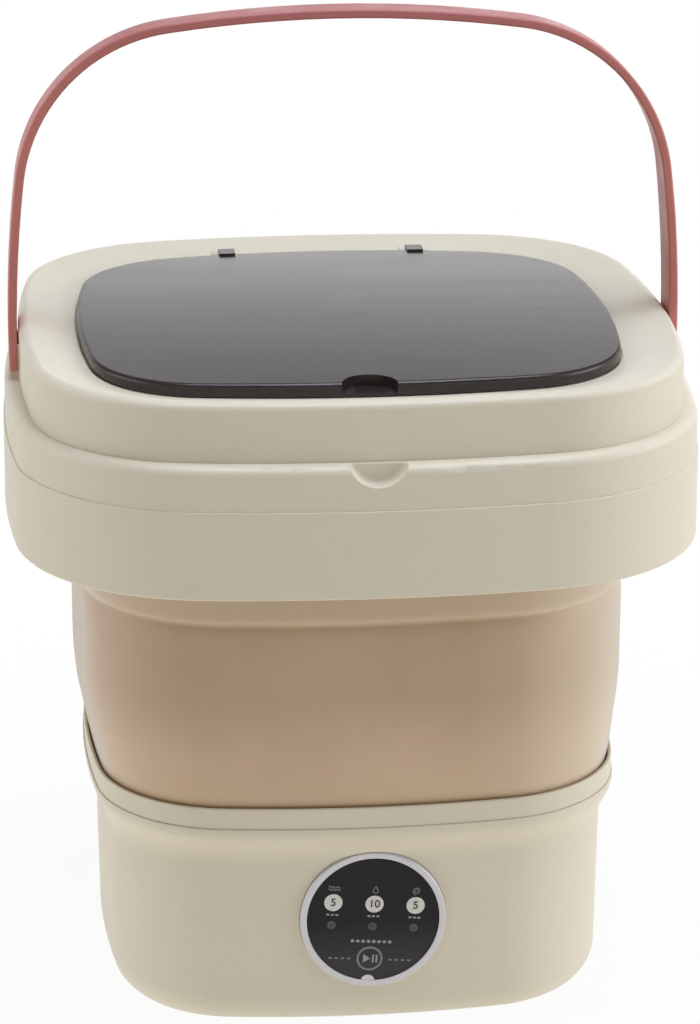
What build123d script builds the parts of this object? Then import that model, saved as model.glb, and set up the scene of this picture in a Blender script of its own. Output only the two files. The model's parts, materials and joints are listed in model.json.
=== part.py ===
"""A small folding washing machine as separate pieces, in millimetres, +Z up, front at -Y.

The origin is on the floor, under the middle of the tub.
"""
import os
from math import cos, radians, sin, sqrt

from build123d import *

# Outlines seen from above: half width, half depth, corner radius, side radius
BASE_PLAN = (121.0, 119.0, 62.0, 466.0)
COLLAR_PLAN = (155.4, 152.0, 88.0, 600.0)
DECK_PLAN = (147.5, 143.5, 75.0, 571.0)
LID_PLAN = (121.0, 112.6, 53.0, 465.0)

# Moulded walls, clearances and how far a cutter runs past a face
WALL = 2.6
BOWL_WALL = 2.4
SOFT_WALL = 2.2
SEAM_ROUND = 0.5
SEATED = 0.3
SNUG = 0.1
RUNNING = 0.05
PAST = 5.0

# Heights above the floor, each built on the one below it
COVER_LOW = 2.5
COVER_THICK = 2.4
SHELF_TOP = 99.4
SHELL_LIP = 4.0
RIM_HEIGHT = 9.6
BULGE_RISE = 32.0
LOWER_PANEL = 89.0
UPPER_SHOWN = 20.3
SKIRT_HEIGHT = 39.1
BAND_HEIGHT = 19.3
DECK_HEIGHT = 25.8
DISH_DEPTH = 7.0
DECK_SKIN = 2.5
COVER_TOP = COVER_LOW + COVER_THICK
SHELL_TOP = SHELF_TOP + SHELL_LIP
RIM_TOP = SHELL_TOP + RIM_HEIGHT
BULGE_HEIGHT = RIM_TOP + BULGE_RISE
FOLD_LINE = RIM_TOP + LOWER_PANEL
COLLAR_LOW = FOLD_LINE + UPPER_SHOWN
SEAM = COLLAR_LOW + SKIRT_HEIGHT
LEDGE = SEAM + BAND_HEIGHT
DECK_TOP = LEDGE + DECK_HEIGHT
DECK_FLOOR = DECK_TOP - DISH_DEPTH
DECK_UNDER = DECK_FLOOR - DECK_SKIN

# Base shell, measured outwards from the base outline
BODY_GROW = -4.5
BODY_DRAFT = 1.1
FLARE_DROP = 11.0
FLARE_OUT = 5.7
FLARE_FOOT_ROUND = 22.0
FLARE_HEAD_ROUND = 8.0
BOTTOM_ROUND = 17.0
SHELF_IN = -9.0
SHELF_THICK = 2.6
COVER_IN = 18.9
SCREW_INSET = 5.0
LEDGE_WIDTH = 10.0
COVER_BOSS = 4.0
COVER_BOSS_HEIGHT = 9.0
COVER_HEAD_HEIGHT = 1.0
COVER_HEAD_SINK = 1.2
FLARE_LOW = SHELF_TOP - FLARE_DROP
FLARE_TOP_GROW = BODY_GROW + FLARE_OUT
LOW_GROW = BODY_GROW - BODY_DRAFT
COVER_GROW = LOW_GROW - COVER_IN
COVER_SCREW_GROW = COVER_GROW - SCREW_INSET
LEDGE_IN = COVER_GROW - LEDGE_WIDTH
LEDGE_TOP = COVER_TOP + COVER_THICK

# Ring on the shell, measured from the shell's top edge
RIM_STEP = 0.6
RIM_LIP = 1.5
RIM_FLOOR = 2.2
LIP_ROUND = 0.7
RIM_OUT = FLARE_TOP_GROW - RIM_STEP
SHELL_INNER = FLARE_TOP_GROW - WALL

# Feet and vents in the bottom cover
FOOT_INSET = 55.0
FOOT_RADIUS = 9.0
FOOT_STEM = 3.0
FOOT_BARB = 1.2
FOOT_ROUND = 0.8
VENT_COUNT = 5
VENT_PITCH = 9.0
VENT_SIZE = (44.0, 2.5)

# Bellows, measured outwards from the base outline
SLEEVE_GROW = -4.9
BEAD_OUT = 1.9
LOWER_GROW = 3.6
UPPER_GROW = 4.8
FOLD_IN = 0.6
FOLD_HALF = 0.9
BULGE_ROUND = 60.0
SOFT_TOP = DECK_UNDER - SEATED

# Screws: shank radius, head radius, head height
SMALL_SCREW = (1.5, 2.8, 1.8)
LARGE_SCREW = (1.7, 3.4, 2.2)
COVER_SCREWS = 8
COLLAR_SCREWS = 8

# Drive, all on the tub's middle line, built up from the bottom cover
SHAFT_RADIUS = 4.0
COVER_ROOM = 1.0
NUT_HEIGHT = 3.4
NUT_RADIUS = 7.0
CUP_ROOM = 6.6
TUBE_RADIUS = 14.0
BEARING_RADIUS = 11.0
BEARING_HEIGHT = 7.0
BEARING_PITCH = 14.0
SEAL_HEIGHT = 8.0
RING_FACE = 2.0
GROOVE_DEPTH = 0.4
SHOULDER_BORE = 8.5
FLANGE_RADIUS = 34.0
FLANGE_THICK = 4.0
BOSS_DROP = 6.0
HOUSING_BOLTS = 4
HOUSING_BOLT_CIRCLE = 27.0
HOUSING_BOSS = 5.0
STATOR_TEETH = 9
STATOR_RADIUS = 37.0
STATOR_HEIGHT = 14.0
STATOR_YOKE = 6.0
TOOTH_WIDTH = 4.4
SHOE_WIDTH = 21.0
SHOE_THICK = 3.0
COIL_WIDTH = 9.2
COIL_OVER = 2.0
COIL_ROUND = 1.6
AIR_GAP = 0.8
MAGNET_THICK = 2.2
MAGNET_OVER = 1.0
CUP_WALL = 2.0
CUP_OVER = 3.0
CUP_HUB = 7.0
CUP_HOLES = 6
CUP_HOLE_RADIUS = 5.0
CUP_HOLE_CIRCLE = 26.0
SHAFT_LOW = COVER_TOP + COVER_ROOM
CUP_LOW = SHAFT_LOW + NUT_HEIGHT + SNUG
STATOR_LOW = CUP_LOW + CUP_ROOM
STATOR_TOP = STATOR_LOW + STATOR_HEIGHT
CUP_TOP = STATOR_TOP + CUP_OVER
BEARING_LOW = STATOR_LOW + 1.0
BEARING_HIGH = BEARING_LOW + BEARING_PITCH
BOWL_FLOOR = BEARING_HIGH + BEARING_HEIGHT + SEAL_HEIGHT
HOUSING_LOW = BOWL_FLOOR - BOSS_DROP - FLANGE_THICK

# Tub bowl
UPSTAND = 10.0
BOWL_CORNER = -28.0
BOWL_FLAT = 30.0
BOWL_ROUND = 20.0
SHOULDER_IN = -16.0
SHOULDER_DROP = 10.0
SHOULDER_ROUND = 12.0
SHAFT_HOLE = 5.0
BOWL_TOP = SHELF_TOP + UPSTAND
BOWL_INSIDE = BOWL_FLOOR + BOWL_WALL
BOWL_NECK = SHELF_IN - SEATED - SNUG
BOWL_SLEEVE = SLEEVE_GROW - SOFT_WALL - SNUG

# Pulsator, on the shaft's top
DISC_RADIUS = 58.0
DISC_CLEAR = 2.1
DISC_THICK = 2.4
DISC_DROP = 0.8
DISC_FLAT = 24.0
BLADES = 3
BLADE_WIDTH = 13.0
BLADE_CREST = 4.4
BLADE_RISE = 11.5
HUB_RADIUS = 10.0
HUB_RISE = 12.5
HUB_BOLT = 2.0
HUB_BOLT_HEAD = (4.2, 2.6)
HUB_SINK = 3.4
HUB_SINK_RADIUS = 5.0
SHAFT_RISE = 6.5
CAP_HEIGHT = 2.4
DISC_HOLES = 12
DISC_HOLE_RADIUS = 2.2
DISC_HOLE_CIRCLE = 46.0
DISC_LOW = BOWL_INSIDE + DISC_CLEAR
SHAFT_TOP = DISC_LOW + SHAFT_RISE
BLADE_TOP = DISC_LOW + BLADE_RISE
HUB_TOP = DISC_LOW + HUB_RISE

# Round panel on the front wall: its middle as (x, z), turned clockwise seen from the front
PANEL_SPOT = (2.3, 57.0)
PANEL_TURN = 4.6
PANEL_FLANGE = 32.8
BEZEL_WIDTH = 3.0
BEZEL_ROUND = 0.9
PANEL_PROUD = 1.1
PANEL_DEEP = 3.0
PANEL_PAD_RIM = 3.7
PANEL_PAD_THICK = 4.0
TAB_RADIUS = 3.2
BOARD_HALF = 27.0
BOARD_HOLE_INSET = 3.8
BOARD_ROUND = 3.0
BOARD_POST = 2.0
BOARD_POST_RADIUS = 3.0
BOARD_THICK = 1.6
BOARD_HEAD_HEIGHT = 1.4
PANEL_DISC = PANEL_FLANGE - BEZEL_WIDTH
PANEL_SLEEVE = PANEL_DISC + 1.1
PANEL_FRONT = -(BASE_PLAN[1] + BODY_GROW + PANEL_PROUD)
PANEL_SEAT = PANEL_FRONT + PANEL_DEEP
PANEL_PAD_BACK = PANEL_SEAT + PANEL_PAD_THICK
BOARD_FRONT = PANEL_PAD_BACK + BOARD_POST
BOARD_BACK = BOARD_FRONT + BOARD_THICK

# Drain and power socket on the back wall
BACK_PAD_PROUD = 0.3
BACK_PAD_THICK = 6.3
DRAIN_BORE = 6.0
DRAIN_RADIUS = 9.0
DRAIN_DROP = 66.0
DRAIN_HEIGHT = 30.0
DRAIN_PAD_RIM = 7.0
DRAIN_COLLAR = 4.0
DRAIN_FLANGE_THICK = 3.0
DRAIN_NUT_THICK = 4.0
GASKET = 1.6
DRAIN_BOSS = 6.0
SPOUT_RADIUS = 8.0
SPOUT_LENGTH = 9.2
PLUG_DEPTH = 9.0
PLUG_RIM = 4.0
SOCKET_SPOT = (36.0, 30.0)
SOCKET_RADIUS = 5.4
SOCKET_FLANGE = (7.4, 1.6)
SOCKET_LENGTH = 15.3
SOCKET_BORE = 2.75
SOCKET_BORE_DEPTH = 9.0
SOCKET_PIN = 1.05
SOCKET_PAD_RIM = 4.6
SOCKET_NUT = (8.5, 2.4)
BACK_PAD_OUT = BASE_PLAN[1] + BODY_GROW + BACK_PAD_PROUD
BACK_PAD_IN = BACK_PAD_OUT - BACK_PAD_THICK
SPOUT_START = BACK_PAD_OUT + DRAIN_NUT_THICK
DRAIN_END = SPOUT_START + SPOUT_LENGTH

# Collar, measured outwards from the collar outline
COLLAR_DRAFT = 0.3
BAND_STEP = 0.6
TONGUE_IN = -3.9
FLANGE_IN = -23.6
LEDGE_ROUND = 4.0
SCOOP_HALF = 12.5
SCOOP_DEPTH = 9.3
SCOOP_IN = 6.4
SCOOP_ROUND = 2.5
FLANGE_TOP = LEDGE - WALL
SCOOP_BACK = SCOOP_IN - COLLAR_PLAN[1]

# Top deck, measured outwards from the deck outline
DECK_ROUND = 3.4
DECK_FOOT_ROUND = 0.2
DECK_WALL = 2.8
DISH_OUT = -4.2
DISH_IN = -31.0
DECK_INSIDE = -46.0
OPENING_GROW = -9.5
NECK_DROP = 16.0
HOOP_DROP = 12.0
HOOP_THICK = 2.2
BOSS_GROW = -9.0
BOSS_RADIUS = 4.0
NECK_GROW = UPPER_GROW - SOFT_WALL - SEATED
NECK_LOW = DECK_UNDER - NECK_DROP
HOOP_LOW = DECK_UNDER - HOOP_DROP

# Lid and its hinge
LID_GAP = 0.8
LID_LIFT = 0.5
LID_SIDE = 5.8
LID_RISE = 1.5
LID_ROUND = 1.8
LID_SKIN = 2.4
RIB_THICK = 2.0
RIB_DROP = 2.4
NOTCH_RADIUS = 12.0
NOTCH_FLOOR = 1.2
NOTCH_WALL = 2.0
HINGE_BACK = 3.0
HINGE_RISE = 2.9
LUG_MIDDLE = 45.5
LUG_WIDTH = 7.6
LUG_RADIUS = 4.0
LUG_ROOM = 0.4
LUG_REACH = 9.0
EAR_WIDTH = 3.0
EAR_RADIUS = 3.4
HINGE_PIN = 1.4
LID_LOW = DECK_FLOOR + LID_LIFT
LID_EDGE = LID_LOW + LID_SIDE
LID_CROWN = LID_EDGE + LID_RISE
LID_HOLLOW = LID_EDGE - LID_SKIN
HINGE_Y = LID_PLAN[1] + HINGE_BACK
HINGE_Z = LID_LOW + HINGE_RISE
PIN_REACH = LUG_WIDTH / 2 + SEATED + EAR_WIDTH

# Carrying strap and its pivots
PIVOT_DROP = 8.5
STRAP_GAP = 0.5
STRAP_THICK = 4.0
STRAP_WIDE = 22.0
STRAP_NARROW = 16.0
STRAP_FOOT = 13.5
FOOT_CORNER = 3.0
WAIST_START = 52.0
WAIST_LENGTH = 75.0
WAIST_BLEND = 60.0
STRAP_ROUND = 1.0
PIVOT_RADIUS = 3.0
PIVOT_BOSS = 3.0
PIVOT_HEAD = 5.6
PIVOT_HEAD_THICK = 1.7
PIVOT_DEPTH = 9.0
PIVOT_Z = DECK_TOP - PIVOT_DROP
STRAP_IN = DECK_PLAN[0] + STRAP_GAP
STRAP_OUT = STRAP_IN + STRAP_THICK
PIVOT_SEAT = STRAP_OUT - PIVOT_HEAD_THICK


# Shared shapes

def quarter_points(plan, grow):
    """Right, two tangent points and back of an outline's right back quarter."""
    half_x, half_y, corner, side = plan
    u = side - half_x
    v = side - half_y
    reach = side - corner
    slope = v / u
    offset = (u * u + v * v) / (2 * u)
    a = slope * slope + 1
    b = 2 * slope * offset
    c = offset * offset - reach * reach
    corner_y = (-b + sqrt(b * b - 4 * a * c)) / (2 * a)
    corner_x = slope * corner_y + offset - u
    stretch = (side + grow) / reach
    on_side = (-u + (corner_x + u) * stretch, corner_y * stretch)
    on_back = (corner_x * stretch, -v + (corner_y + v) * stretch)
    return half_x + grow, on_side, on_back, half_y + grow


def outline(plan, grow=0.0):
    """Closed outline of tangent arcs, started at the middle of the front."""
    half_x, (ax, ay), (bx, by), half_y = quarter_points(plan, grow)
    points = [(0, -half_y), (-bx, -by), (-ax, -ay), (-ax, ay), (-bx, by)]
    points += [(bx, by), (ax, ay), (ax, -ay), (bx, -by), (0, -half_y)]
    arcs = []
    for index in range(len(points) - 1):
        radius = plan[3] if index % 2 == 0 else plan[2]
        arcs.append(RadiusArc(points[index], points[index + 1], radius + grow))
    return Wire(arcs)


def plate(plan, grow, low, high):
    """Solid plate with the grown outline."""
    return Pos(0, 0, low) * extrude(make_face(outline(plan, grow)), high - low)


def section(points):
    """Closed face through (out, up) points, each with its own rounding if it has one."""
    face = make_face(Polyline([point[:2] for point in points], close=True))
    for point in points:
        if len(point) == 3:
            corner = face.vertices().sort_by_distance((point[0], point[1], 0))[0]
            face = fillet(corner, point[2])
    return face


def hoop(plan, points):
    """The section carried all round the outline."""
    start = Plane(origin=(0, -plan[1], 0), x_dir=(0, -1, 0), z_dir=(-1, 0, 0))
    return sweep(start * section(points), path=outline(plan))


def upright(radius, low, high, x=0.0, y=0.0):
    """Cylinder along Z."""
    return Pos(x, y, (low + high) / 2) * Cylinder(radius, high - low)


def lengthwise(radius, front, back, x=0.0, z=0.0):
    """Cylinder along Y."""
    return Pos(x, (front + back) / 2, z) * Rot(90, 0, 0) * Cylinder(radius, back - front)


def crosswise(radius, left, right, y=0.0, z=0.0):
    """Cylinder along X."""
    return Pos((left + right) / 2, y, z) * Rot(0, 90, 0) * Cylinder(radius, right - left)


def block(x_range, y_range, z_range):
    """Box between two corners."""
    size = [high - low for low, high in (x_range, y_range, z_range)]
    middle = [(high + low) / 2 for low, high in (x_range, y_range, z_range)]
    return Pos(*middle) * Box(*size)


def screw_up(sizes, x, y, seat, tip):
    """Screw driven upwards, its head under the seat."""
    shank, head, height = sizes
    return upright(shank, seat, tip, x, y) + upright(head, seat - height, seat, x, y)


def spots_round(plan, grow, count):
    """Evenly spread spots on a grown outline, mirrored left to right."""
    path = outline(plan, grow)
    return [path @ ((index + 0.5) / count) for index in range(count)]


def spots_circle(radius, count, turn=0.0):
    """Evenly spread spots on a circle about the middle line."""
    angles = [radians(turn + 360 * index / count) for index in range(count)]
    return [(radius * cos(angle), radius * sin(angle)) for angle in angles]


def tube(outer, inner, low, high, x=0.0, y=0.0):
    """Ring along Z."""
    return upright(outer, low, high, x, y) - upright(inner, low - PAST, high + PAST, x, y)


def mirrored(positive):
    """A group of the piece and its mirror image in X."""
    return [positive, mirror(positive, about=Plane.YZ)]


def on_panel(shape):
    """Move a shape from the middle line to the panel's place and turn."""
    x, z = PANEL_SPOT
    return Pos(x, 0, z) * Rot(0, PANEL_TURN, 0) * shape


# Base

def base_shell():
    """Outer shell of the base, with the shelf that carries the bowl."""
    cover_edge = COVER_GROW + SEATED
    shelf_low = SHELF_TOP - SHELF_THICK
    body = hoop(BASE_PLAN, [
        (LEDGE_IN, COVER_TOP),
        (cover_edge, COVER_TOP),
        (cover_edge, COVER_LOW),
        (LOW_GROW, COVER_LOW, BOTTOM_ROUND),
        (BODY_GROW, FLARE_LOW, FLARE_FOOT_ROUND),
        (FLARE_TOP_GROW, SHELF_TOP, FLARE_HEAD_ROUND),
        (FLARE_TOP_GROW, SHELL_TOP, SEAM_ROUND),
        (SHELL_INNER, SHELL_TOP),
        (SHELL_INNER, SHELF_TOP),
        (SHELF_IN, SHELF_TOP),
        (SHELF_IN, shelf_low),
        (SHELL_INNER - FLARE_OUT * SHELF_THICK / FLARE_DROP, shelf_low),
        (BODY_GROW - WALL, FLARE_LOW, FLARE_FOOT_ROUND - WALL),
        (LOW_GROW - WALL, LEDGE_TOP, BOTTOM_ROUND - WALL),
        (LEDGE_IN, LEDGE_TOP),
    ])
    spots = spots_round(BASE_PLAN, COVER_SCREW_GROW, COVER_SCREWS)
    for spot in spots:
        body += upright(COVER_BOSS, LEDGE_TOP - SNUG, LEDGE_TOP + COVER_BOSS_HEIGHT, spot.X, spot.Y)
    for spot in spots:
        body -= upright(SMALL_SCREW[0], COVER_LOW, LEDGE_TOP + COVER_BOSS_HEIGHT - WALL, spot.X, spot.Y)
    body += on_panel(panel_pad())
    body -= on_panel(panel_hole())
    for x, z, rim, hole in back_holes():
        body += lengthwise(hole + rim, BACK_PAD_IN, BACK_PAD_OUT, x, z)
        body -= lengthwise(hole + rim + 1, BACK_PAD_OUT, BACK_PAD_OUT + PAST, x, z)
        body -= lengthwise(hole + SNUG, BACK_PAD_IN - PAST, BACK_PAD_OUT + PAST, x, z)
    return body


def panel_pad():
    """Round pad behind the panel, with the four posts for the board."""
    pad = lengthwise(PANEL_FLANGE + PANEL_PAD_RIM, PANEL_SEAT - 2 * SEATED, PANEL_PAD_BACK)
    for x, z in board_spots():
        pad += lengthwise(BOARD_POST_RADIUS, PANEL_PAD_BACK - 1, BOARD_FRONT, x, z)
    return pad


def panel_hole():
    """Stepped hole for the panel, with the posts' screw holes."""
    outside = PANEL_FRONT - 3 * PAST
    hole = lengthwise(PANEL_SLEEVE + SNUG, outside, PANEL_PAD_BACK)
    hole += lengthwise(PANEL_FLANGE + 2 * SNUG, outside, PANEL_SEAT)
    for x, z in board_spots():
        hole += lengthwise(SMALL_SCREW[0], PANEL_PAD_BACK - 1, BOARD_FRONT + PAST, x, z)
    return hole


def back_holes():
    """Each pad on the back wall: x, z, the rim round its hole and the hole's radius."""
    drain = (0, DRAIN_HEIGHT, DRAIN_PAD_RIM, DRAIN_RADIUS)
    socket = (*SOCKET_SPOT, SOCKET_PAD_RIM, SOCKET_RADIUS)
    return [drain, socket]


def base_rim():
    """Lipped ring on the shell that holds the bellows' foot down."""
    lip_in = RIM_OUT - RIM_LIP
    floor = SHELL_TOP + RIM_FLOOR
    return hoop(BASE_PLAN, [
        (RIM_OUT, SHELL_TOP, SEATED),
        (RIM_OUT, RIM_TOP, LIP_ROUND),
        (lip_in, RIM_TOP, LIP_ROUND),
        (lip_in - 0.9, floor),
        (SLEEVE_GROW, floor),
        (SLEEVE_GROW, SHELL_TOP),
    ])


def bottom_cover():
    """Flat cover under the motor."""
    cover = plate(BASE_PLAN, COVER_GROW, COVER_LOW, COVER_TOP)
    for spot in spots_round(BASE_PLAN, COVER_SCREW_GROW, COVER_SCREWS):
        cover -= upright(SMALL_SCREW[0] + SNUG, 0, COVER_TOP + PAST, spot.X, spot.Y)
        cover -= upright(SMALL_SCREW[1] + SEATED, 0, COVER_LOW + COVER_HEAD_SINK, spot.X, spot.Y)
    for x, y in foot_spots():
        cover -= upright(FOOT_STEM, 0, COVER_TOP + PAST, x, y)
    for index in range(VENT_COUNT):
        y = (index - (VENT_COUNT - 1) / 2) * VENT_PITCH
        cover -= Pos(0, y, COVER_LOW - 1) * extrude(SlotOverall(*VENT_SIZE), COVER_THICK + 2)
    return cover


def foot_spots():
    """Where the four feet stand."""
    x = BASE_PLAN[0] - FOOT_INSET
    y = BASE_PLAN[1] - FOOT_INSET
    return [(-x, -y), (x, -y), (-x, y), (x, y)]


def feet():
    """Rubber feet, each with a stem and a barb through the cover."""
    group = []
    for x, y in foot_spots():
        pad = upright(FOOT_RADIUS, 0, COVER_LOW, x, y)
        pad = fillet(pad.edges().group_by(Axis.Z)[0], FOOT_ROUND)
        stem = upright(FOOT_STEM, COVER_LOW - FOOT_ROUND, COVER_TOP + 1, x, y)
        barb = Cone(FOOT_STEM + FOOT_BARB, FOOT_STEM - 1, COVER_THICK)
        group.append(pad + stem + Pos(x, y, COVER_TOP + COVER_THICK / 2) * barb)
    return group


def cover_screws():
    """Screws that hold the bottom cover."""
    sizes = (SMALL_SCREW[0], SMALL_SCREW[1], COVER_HEAD_HEIGHT)
    seat = COVER_LOW + COVER_HEAD_SINK
    tip = LEDGE_TOP + COVER_BOSS_HEIGHT - 2 * WALL
    spots = spots_round(BASE_PLAN, COVER_SCREW_GROW, COVER_SCREWS)
    return [screw_up(sizes, spot.X, spot.Y, seat, tip) for spot in spots]


# Tub

def tub_bowl():
    """Rigid bottom of the tub, hung by its flange on the shell's shelf."""
    flange_out = SHELL_INNER - SEATED
    flange_top = SHELF_TOP + BOWL_WALL
    shoulder = SHELF_TOP - SHOULDER_DROP
    bowl = hoop(BASE_PLAN, [
        (BOWL_CORNER - BOWL_FLAT, BOWL_FLOOR),
        (BOWL_CORNER, BOWL_FLOOR, BOWL_ROUND),
        (SHOULDER_IN, shoulder, SHOULDER_ROUND),
        (BOWL_NECK, SHELF_TOP - SHELF_THICK, BOWL_WALL),
        (BOWL_NECK, SHELF_TOP),
        (flange_out, SHELF_TOP),
        (flange_out, flange_top),
        (BOWL_SLEEVE, flange_top),
        (BOWL_SLEEVE, BOWL_TOP, BOWL_WALL / 3),
        (BOWL_SLEEVE - BOWL_WALL, BOWL_TOP, BOWL_WALL / 3),
        (BOWL_SLEEVE - BOWL_WALL, SHELF_TOP + 1),
        (BOWL_NECK - BOWL_WALL, SHELF_TOP - SHELF_THICK + 1),
        (SHOULDER_IN - BOWL_WALL, shoulder + 1, SHOULDER_ROUND - BOWL_WALL),
        (BOWL_CORNER - BOWL_WALL, BOWL_INSIDE, BOWL_ROUND - BOWL_WALL),
        (BOWL_CORNER - BOWL_FLAT, BOWL_INSIDE),
    ])
    bowl += plate(BASE_PLAN, BOWL_CORNER - BOWL_FLAT + 1, BOWL_FLOOR, BOWL_INSIDE)
    middle = BOWL_FLOOR + BOWL_WALL / 2
    for x, y in spots_circle(HOUSING_BOLT_CIRCLE, HOUSING_BOLTS, 45):
        bowl += upright(HOUSING_BOSS, HOUSING_LOW + FLANGE_THICK, middle, x, y)
        bowl -= upright(LARGE_SCREW[0], 0, BOWL_FLOOR, x, y)
    bowl += upright(DRAIN_RADIUS + WALL, BOWL_FLOOR - DRAIN_BOSS, middle, 0, DRAIN_DROP)
    bowl -= upright(DRAIN_RADIUS + SNUG, 0, BOWL_FLOOR, 0, DRAIN_DROP)
    bowl -= upright(DRAIN_BORE, 0, BOWL_INSIDE + 1, 0, DRAIN_DROP)
    bowl -= upright(SHAFT_HOLE, 0, BOWL_INSIDE + 1)
    return bowl


def bellows():
    """Soft middle: a straight upper panel, a fold line and a bulged lower panel."""
    inner_low = SLEEVE_GROW - SOFT_WALL + 2 * SNUG
    inner_up = UPPER_GROW - SOFT_WALL
    rim_floor = SHELL_TOP + RIM_FLOOR
    foot_out = SHELL_INNER - SEATED
    foot_low = SHELF_TOP + BOWL_WALL + SNUG
    return hoop(BASE_PLAN, [
        (inner_up, SOFT_TOP),
        (UPPER_GROW, SOFT_TOP),
        (UPPER_GROW, FOLD_LINE + 2 * FOLD_HALF, FOLD_HALF),
        (LOWER_GROW - FOLD_IN, FOLD_LINE + FOLD_HALF),
        (LOWER_GROW - FOLD_IN, FOLD_LINE - FOLD_HALF),
        (LOWER_GROW, FOLD_LINE - 3 * FOLD_HALF, FOLD_HALF),
        (LOWER_GROW, BULGE_HEIGHT, BULGE_ROUND),
        (SLEEVE_GROW + BEAD_OUT, rim_floor + 1, 1),
        (SLEEVE_GROW, rim_floor + SEATED),
        (SLEEVE_GROW, SHELL_TOP),
        (foot_out, SHELL_TOP),
        (foot_out, foot_low),
        (inner_low, foot_low),
        (inner_low, rim_floor + SOFT_WALL, SOFT_WALL),
        (LOWER_GROW - SOFT_WALL, BULGE_HEIGHT, BULGE_ROUND - SOFT_WALL),
        (LOWER_GROW - SOFT_WALL, FOLD_LINE + FOLD_HALF),
        (inner_up, FOLD_LINE + 2 * SOFT_WALL),
    ])


# Drive

def bearing_housing():
    """Flanged tube under the bowl for the bearings, the seal and the stator."""
    shoulder_low = BEARING_LOW + BEARING_HEIGHT
    body = upright(FLANGE_RADIUS, HOUSING_LOW, HOUSING_LOW + FLANGE_THICK)
    body += upright(TUBE_RADIUS, BEARING_LOW - 1, BOWL_FLOOR)
    body -= upright(BEARING_RADIUS, 0, shoulder_low)
    body -= upright(SHOULDER_BORE, shoulder_low - 1, BEARING_HIGH + 1)
    body -= upright(BEARING_RADIUS, BEARING_HIGH, BOWL_FLOOR + PAST)
    for x, y in spots_circle(HOUSING_BOLT_CIRCLE, HOUSING_BOLTS, 45):
        body -= upright(LARGE_SCREW[0] + 2 * SNUG, 0, BOWL_FLOOR, x, y)
    return body


def housing_screws():
    """Screws that hold the bearing housing to the bowl."""
    spots = spots_circle(HOUSING_BOLT_CIRCLE, HOUSING_BOLTS, 45)
    return [screw_up(LARGE_SCREW, x, y, HOUSING_LOW, BOWL_FLOOR - 1) for x, y in spots]


def shaft_bearings():
    """Two ball bearings, each kept as one closed ring."""
    group = []
    for low in (BEARING_LOW, BEARING_HIGH):
        ring = tube(BEARING_RADIUS, SHAFT_RADIUS + RUNNING, low, low + BEARING_HEIGHT)
        for face in (low, low + BEARING_HEIGHT):
            outer = BEARING_RADIUS - RING_FACE
            inner = SHAFT_RADIUS + RING_FACE
            ring -= tube(outer, inner, face - GROOVE_DEPTH, face + GROOVE_DEPTH)
        group.append(ring)
    return group


def shaft_seal():
    """Lip seal between the bowl's floor and the upper bearing."""
    low = BOWL_FLOOR - SEAL_HEIGHT
    seal = tube(BEARING_RADIUS, SHAFT_RADIUS + RUNNING, low, BOWL_FLOOR)
    return seal - tube(BEARING_RADIUS - 2, SHAFT_RADIUS + 1.5, low - 1, low + SEAL_HEIGHT / 2)


def drive_shaft():
    """Steel shaft from the rotor nut to the pulsator."""
    shaft = upright(SHAFT_RADIUS, SHAFT_LOW, SHAFT_TOP)
    return shaft - upright(HUB_BOLT, SHAFT_TOP - 12, SHAFT_TOP + 1)


def motor_stator():
    """Laminated core with its teeth pointing outwards."""
    core = upright(TUBE_RADIUS + STATOR_YOKE, STATOR_LOW, STATOR_TOP)
    half_tooth = TOOTH_WIDTH / 2
    half_shoe = SHOE_WIDTH / 2
    for index in range(STATOR_TEETH):
        tooth = block((0, STATOR_RADIUS - 1), (-half_tooth, half_tooth), (STATOR_LOW, STATOR_TOP))
        shoe = tube(STATOR_RADIUS, STATOR_RADIUS - SHOE_THICK, STATOR_LOW, STATOR_TOP)
        shoe &= block((0, STATOR_RADIUS), (-half_shoe, half_shoe), (STATOR_LOW, STATOR_TOP))
        core += Rot(0, 0, 360 / STATOR_TEETH * index) * (tooth + shoe)
    return core - upright(TUBE_RADIUS, 0, STATOR_TOP + 1)


def stator_coils():
    """One wound coil on each tooth."""
    group = []
    low = STATOR_LOW - COIL_OVER
    top = STATOR_TOP + COIL_OVER
    inner = TUBE_RADIUS + STATOR_YOKE + 1
    outer = STATOR_RADIUS - SHOE_THICK - 1
    half_coil = COIL_WIDTH / 2
    half_slot = TOOTH_WIDTH / 2 + SNUG
    for index in range(STATOR_TEETH):
        coil = block((inner, outer), (-half_coil, half_coil), (low, top))
        coil = fillet(coil.edges().filter_by(Axis.X), COIL_ROUND)
        slot = block((inner - 1, outer + 1), (-half_slot, half_slot), (STATOR_LOW - SNUG, STATOR_TOP + SNUG))
        group.append(Rot(0, 0, 360 / STATOR_TEETH * index) * (coil - slot))
    return group


def magnet_ring():
    """Ring of magnets inside the rotor cup."""
    inner = STATOR_RADIUS + AIR_GAP
    return tube(inner + MAGNET_THICK, inner, STATOR_LOW - MAGNET_OVER, STATOR_TOP + MAGNET_OVER)


def rotor_cup():
    """Steel cup that carries the magnets round the stator."""
    inner = STATOR_RADIUS + AIR_GAP + MAGNET_THICK
    floor = CUP_LOW + CUP_WALL
    cup = upright(inner + CUP_WALL, CUP_LOW, CUP_TOP)
    cup -= upright(inner, floor, CUP_TOP + 1)
    cup += upright(CUP_HUB, CUP_LOW, BEARING_LOW - SEATED)
    for x, y in spots_circle(CUP_HOLE_CIRCLE, CUP_HOLES):
        cup -= upright(CUP_HOLE_RADIUS, 0, floor + 1, x, y)
    return cup - upright(SHAFT_RADIUS, 0, CUP_TOP)


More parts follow.
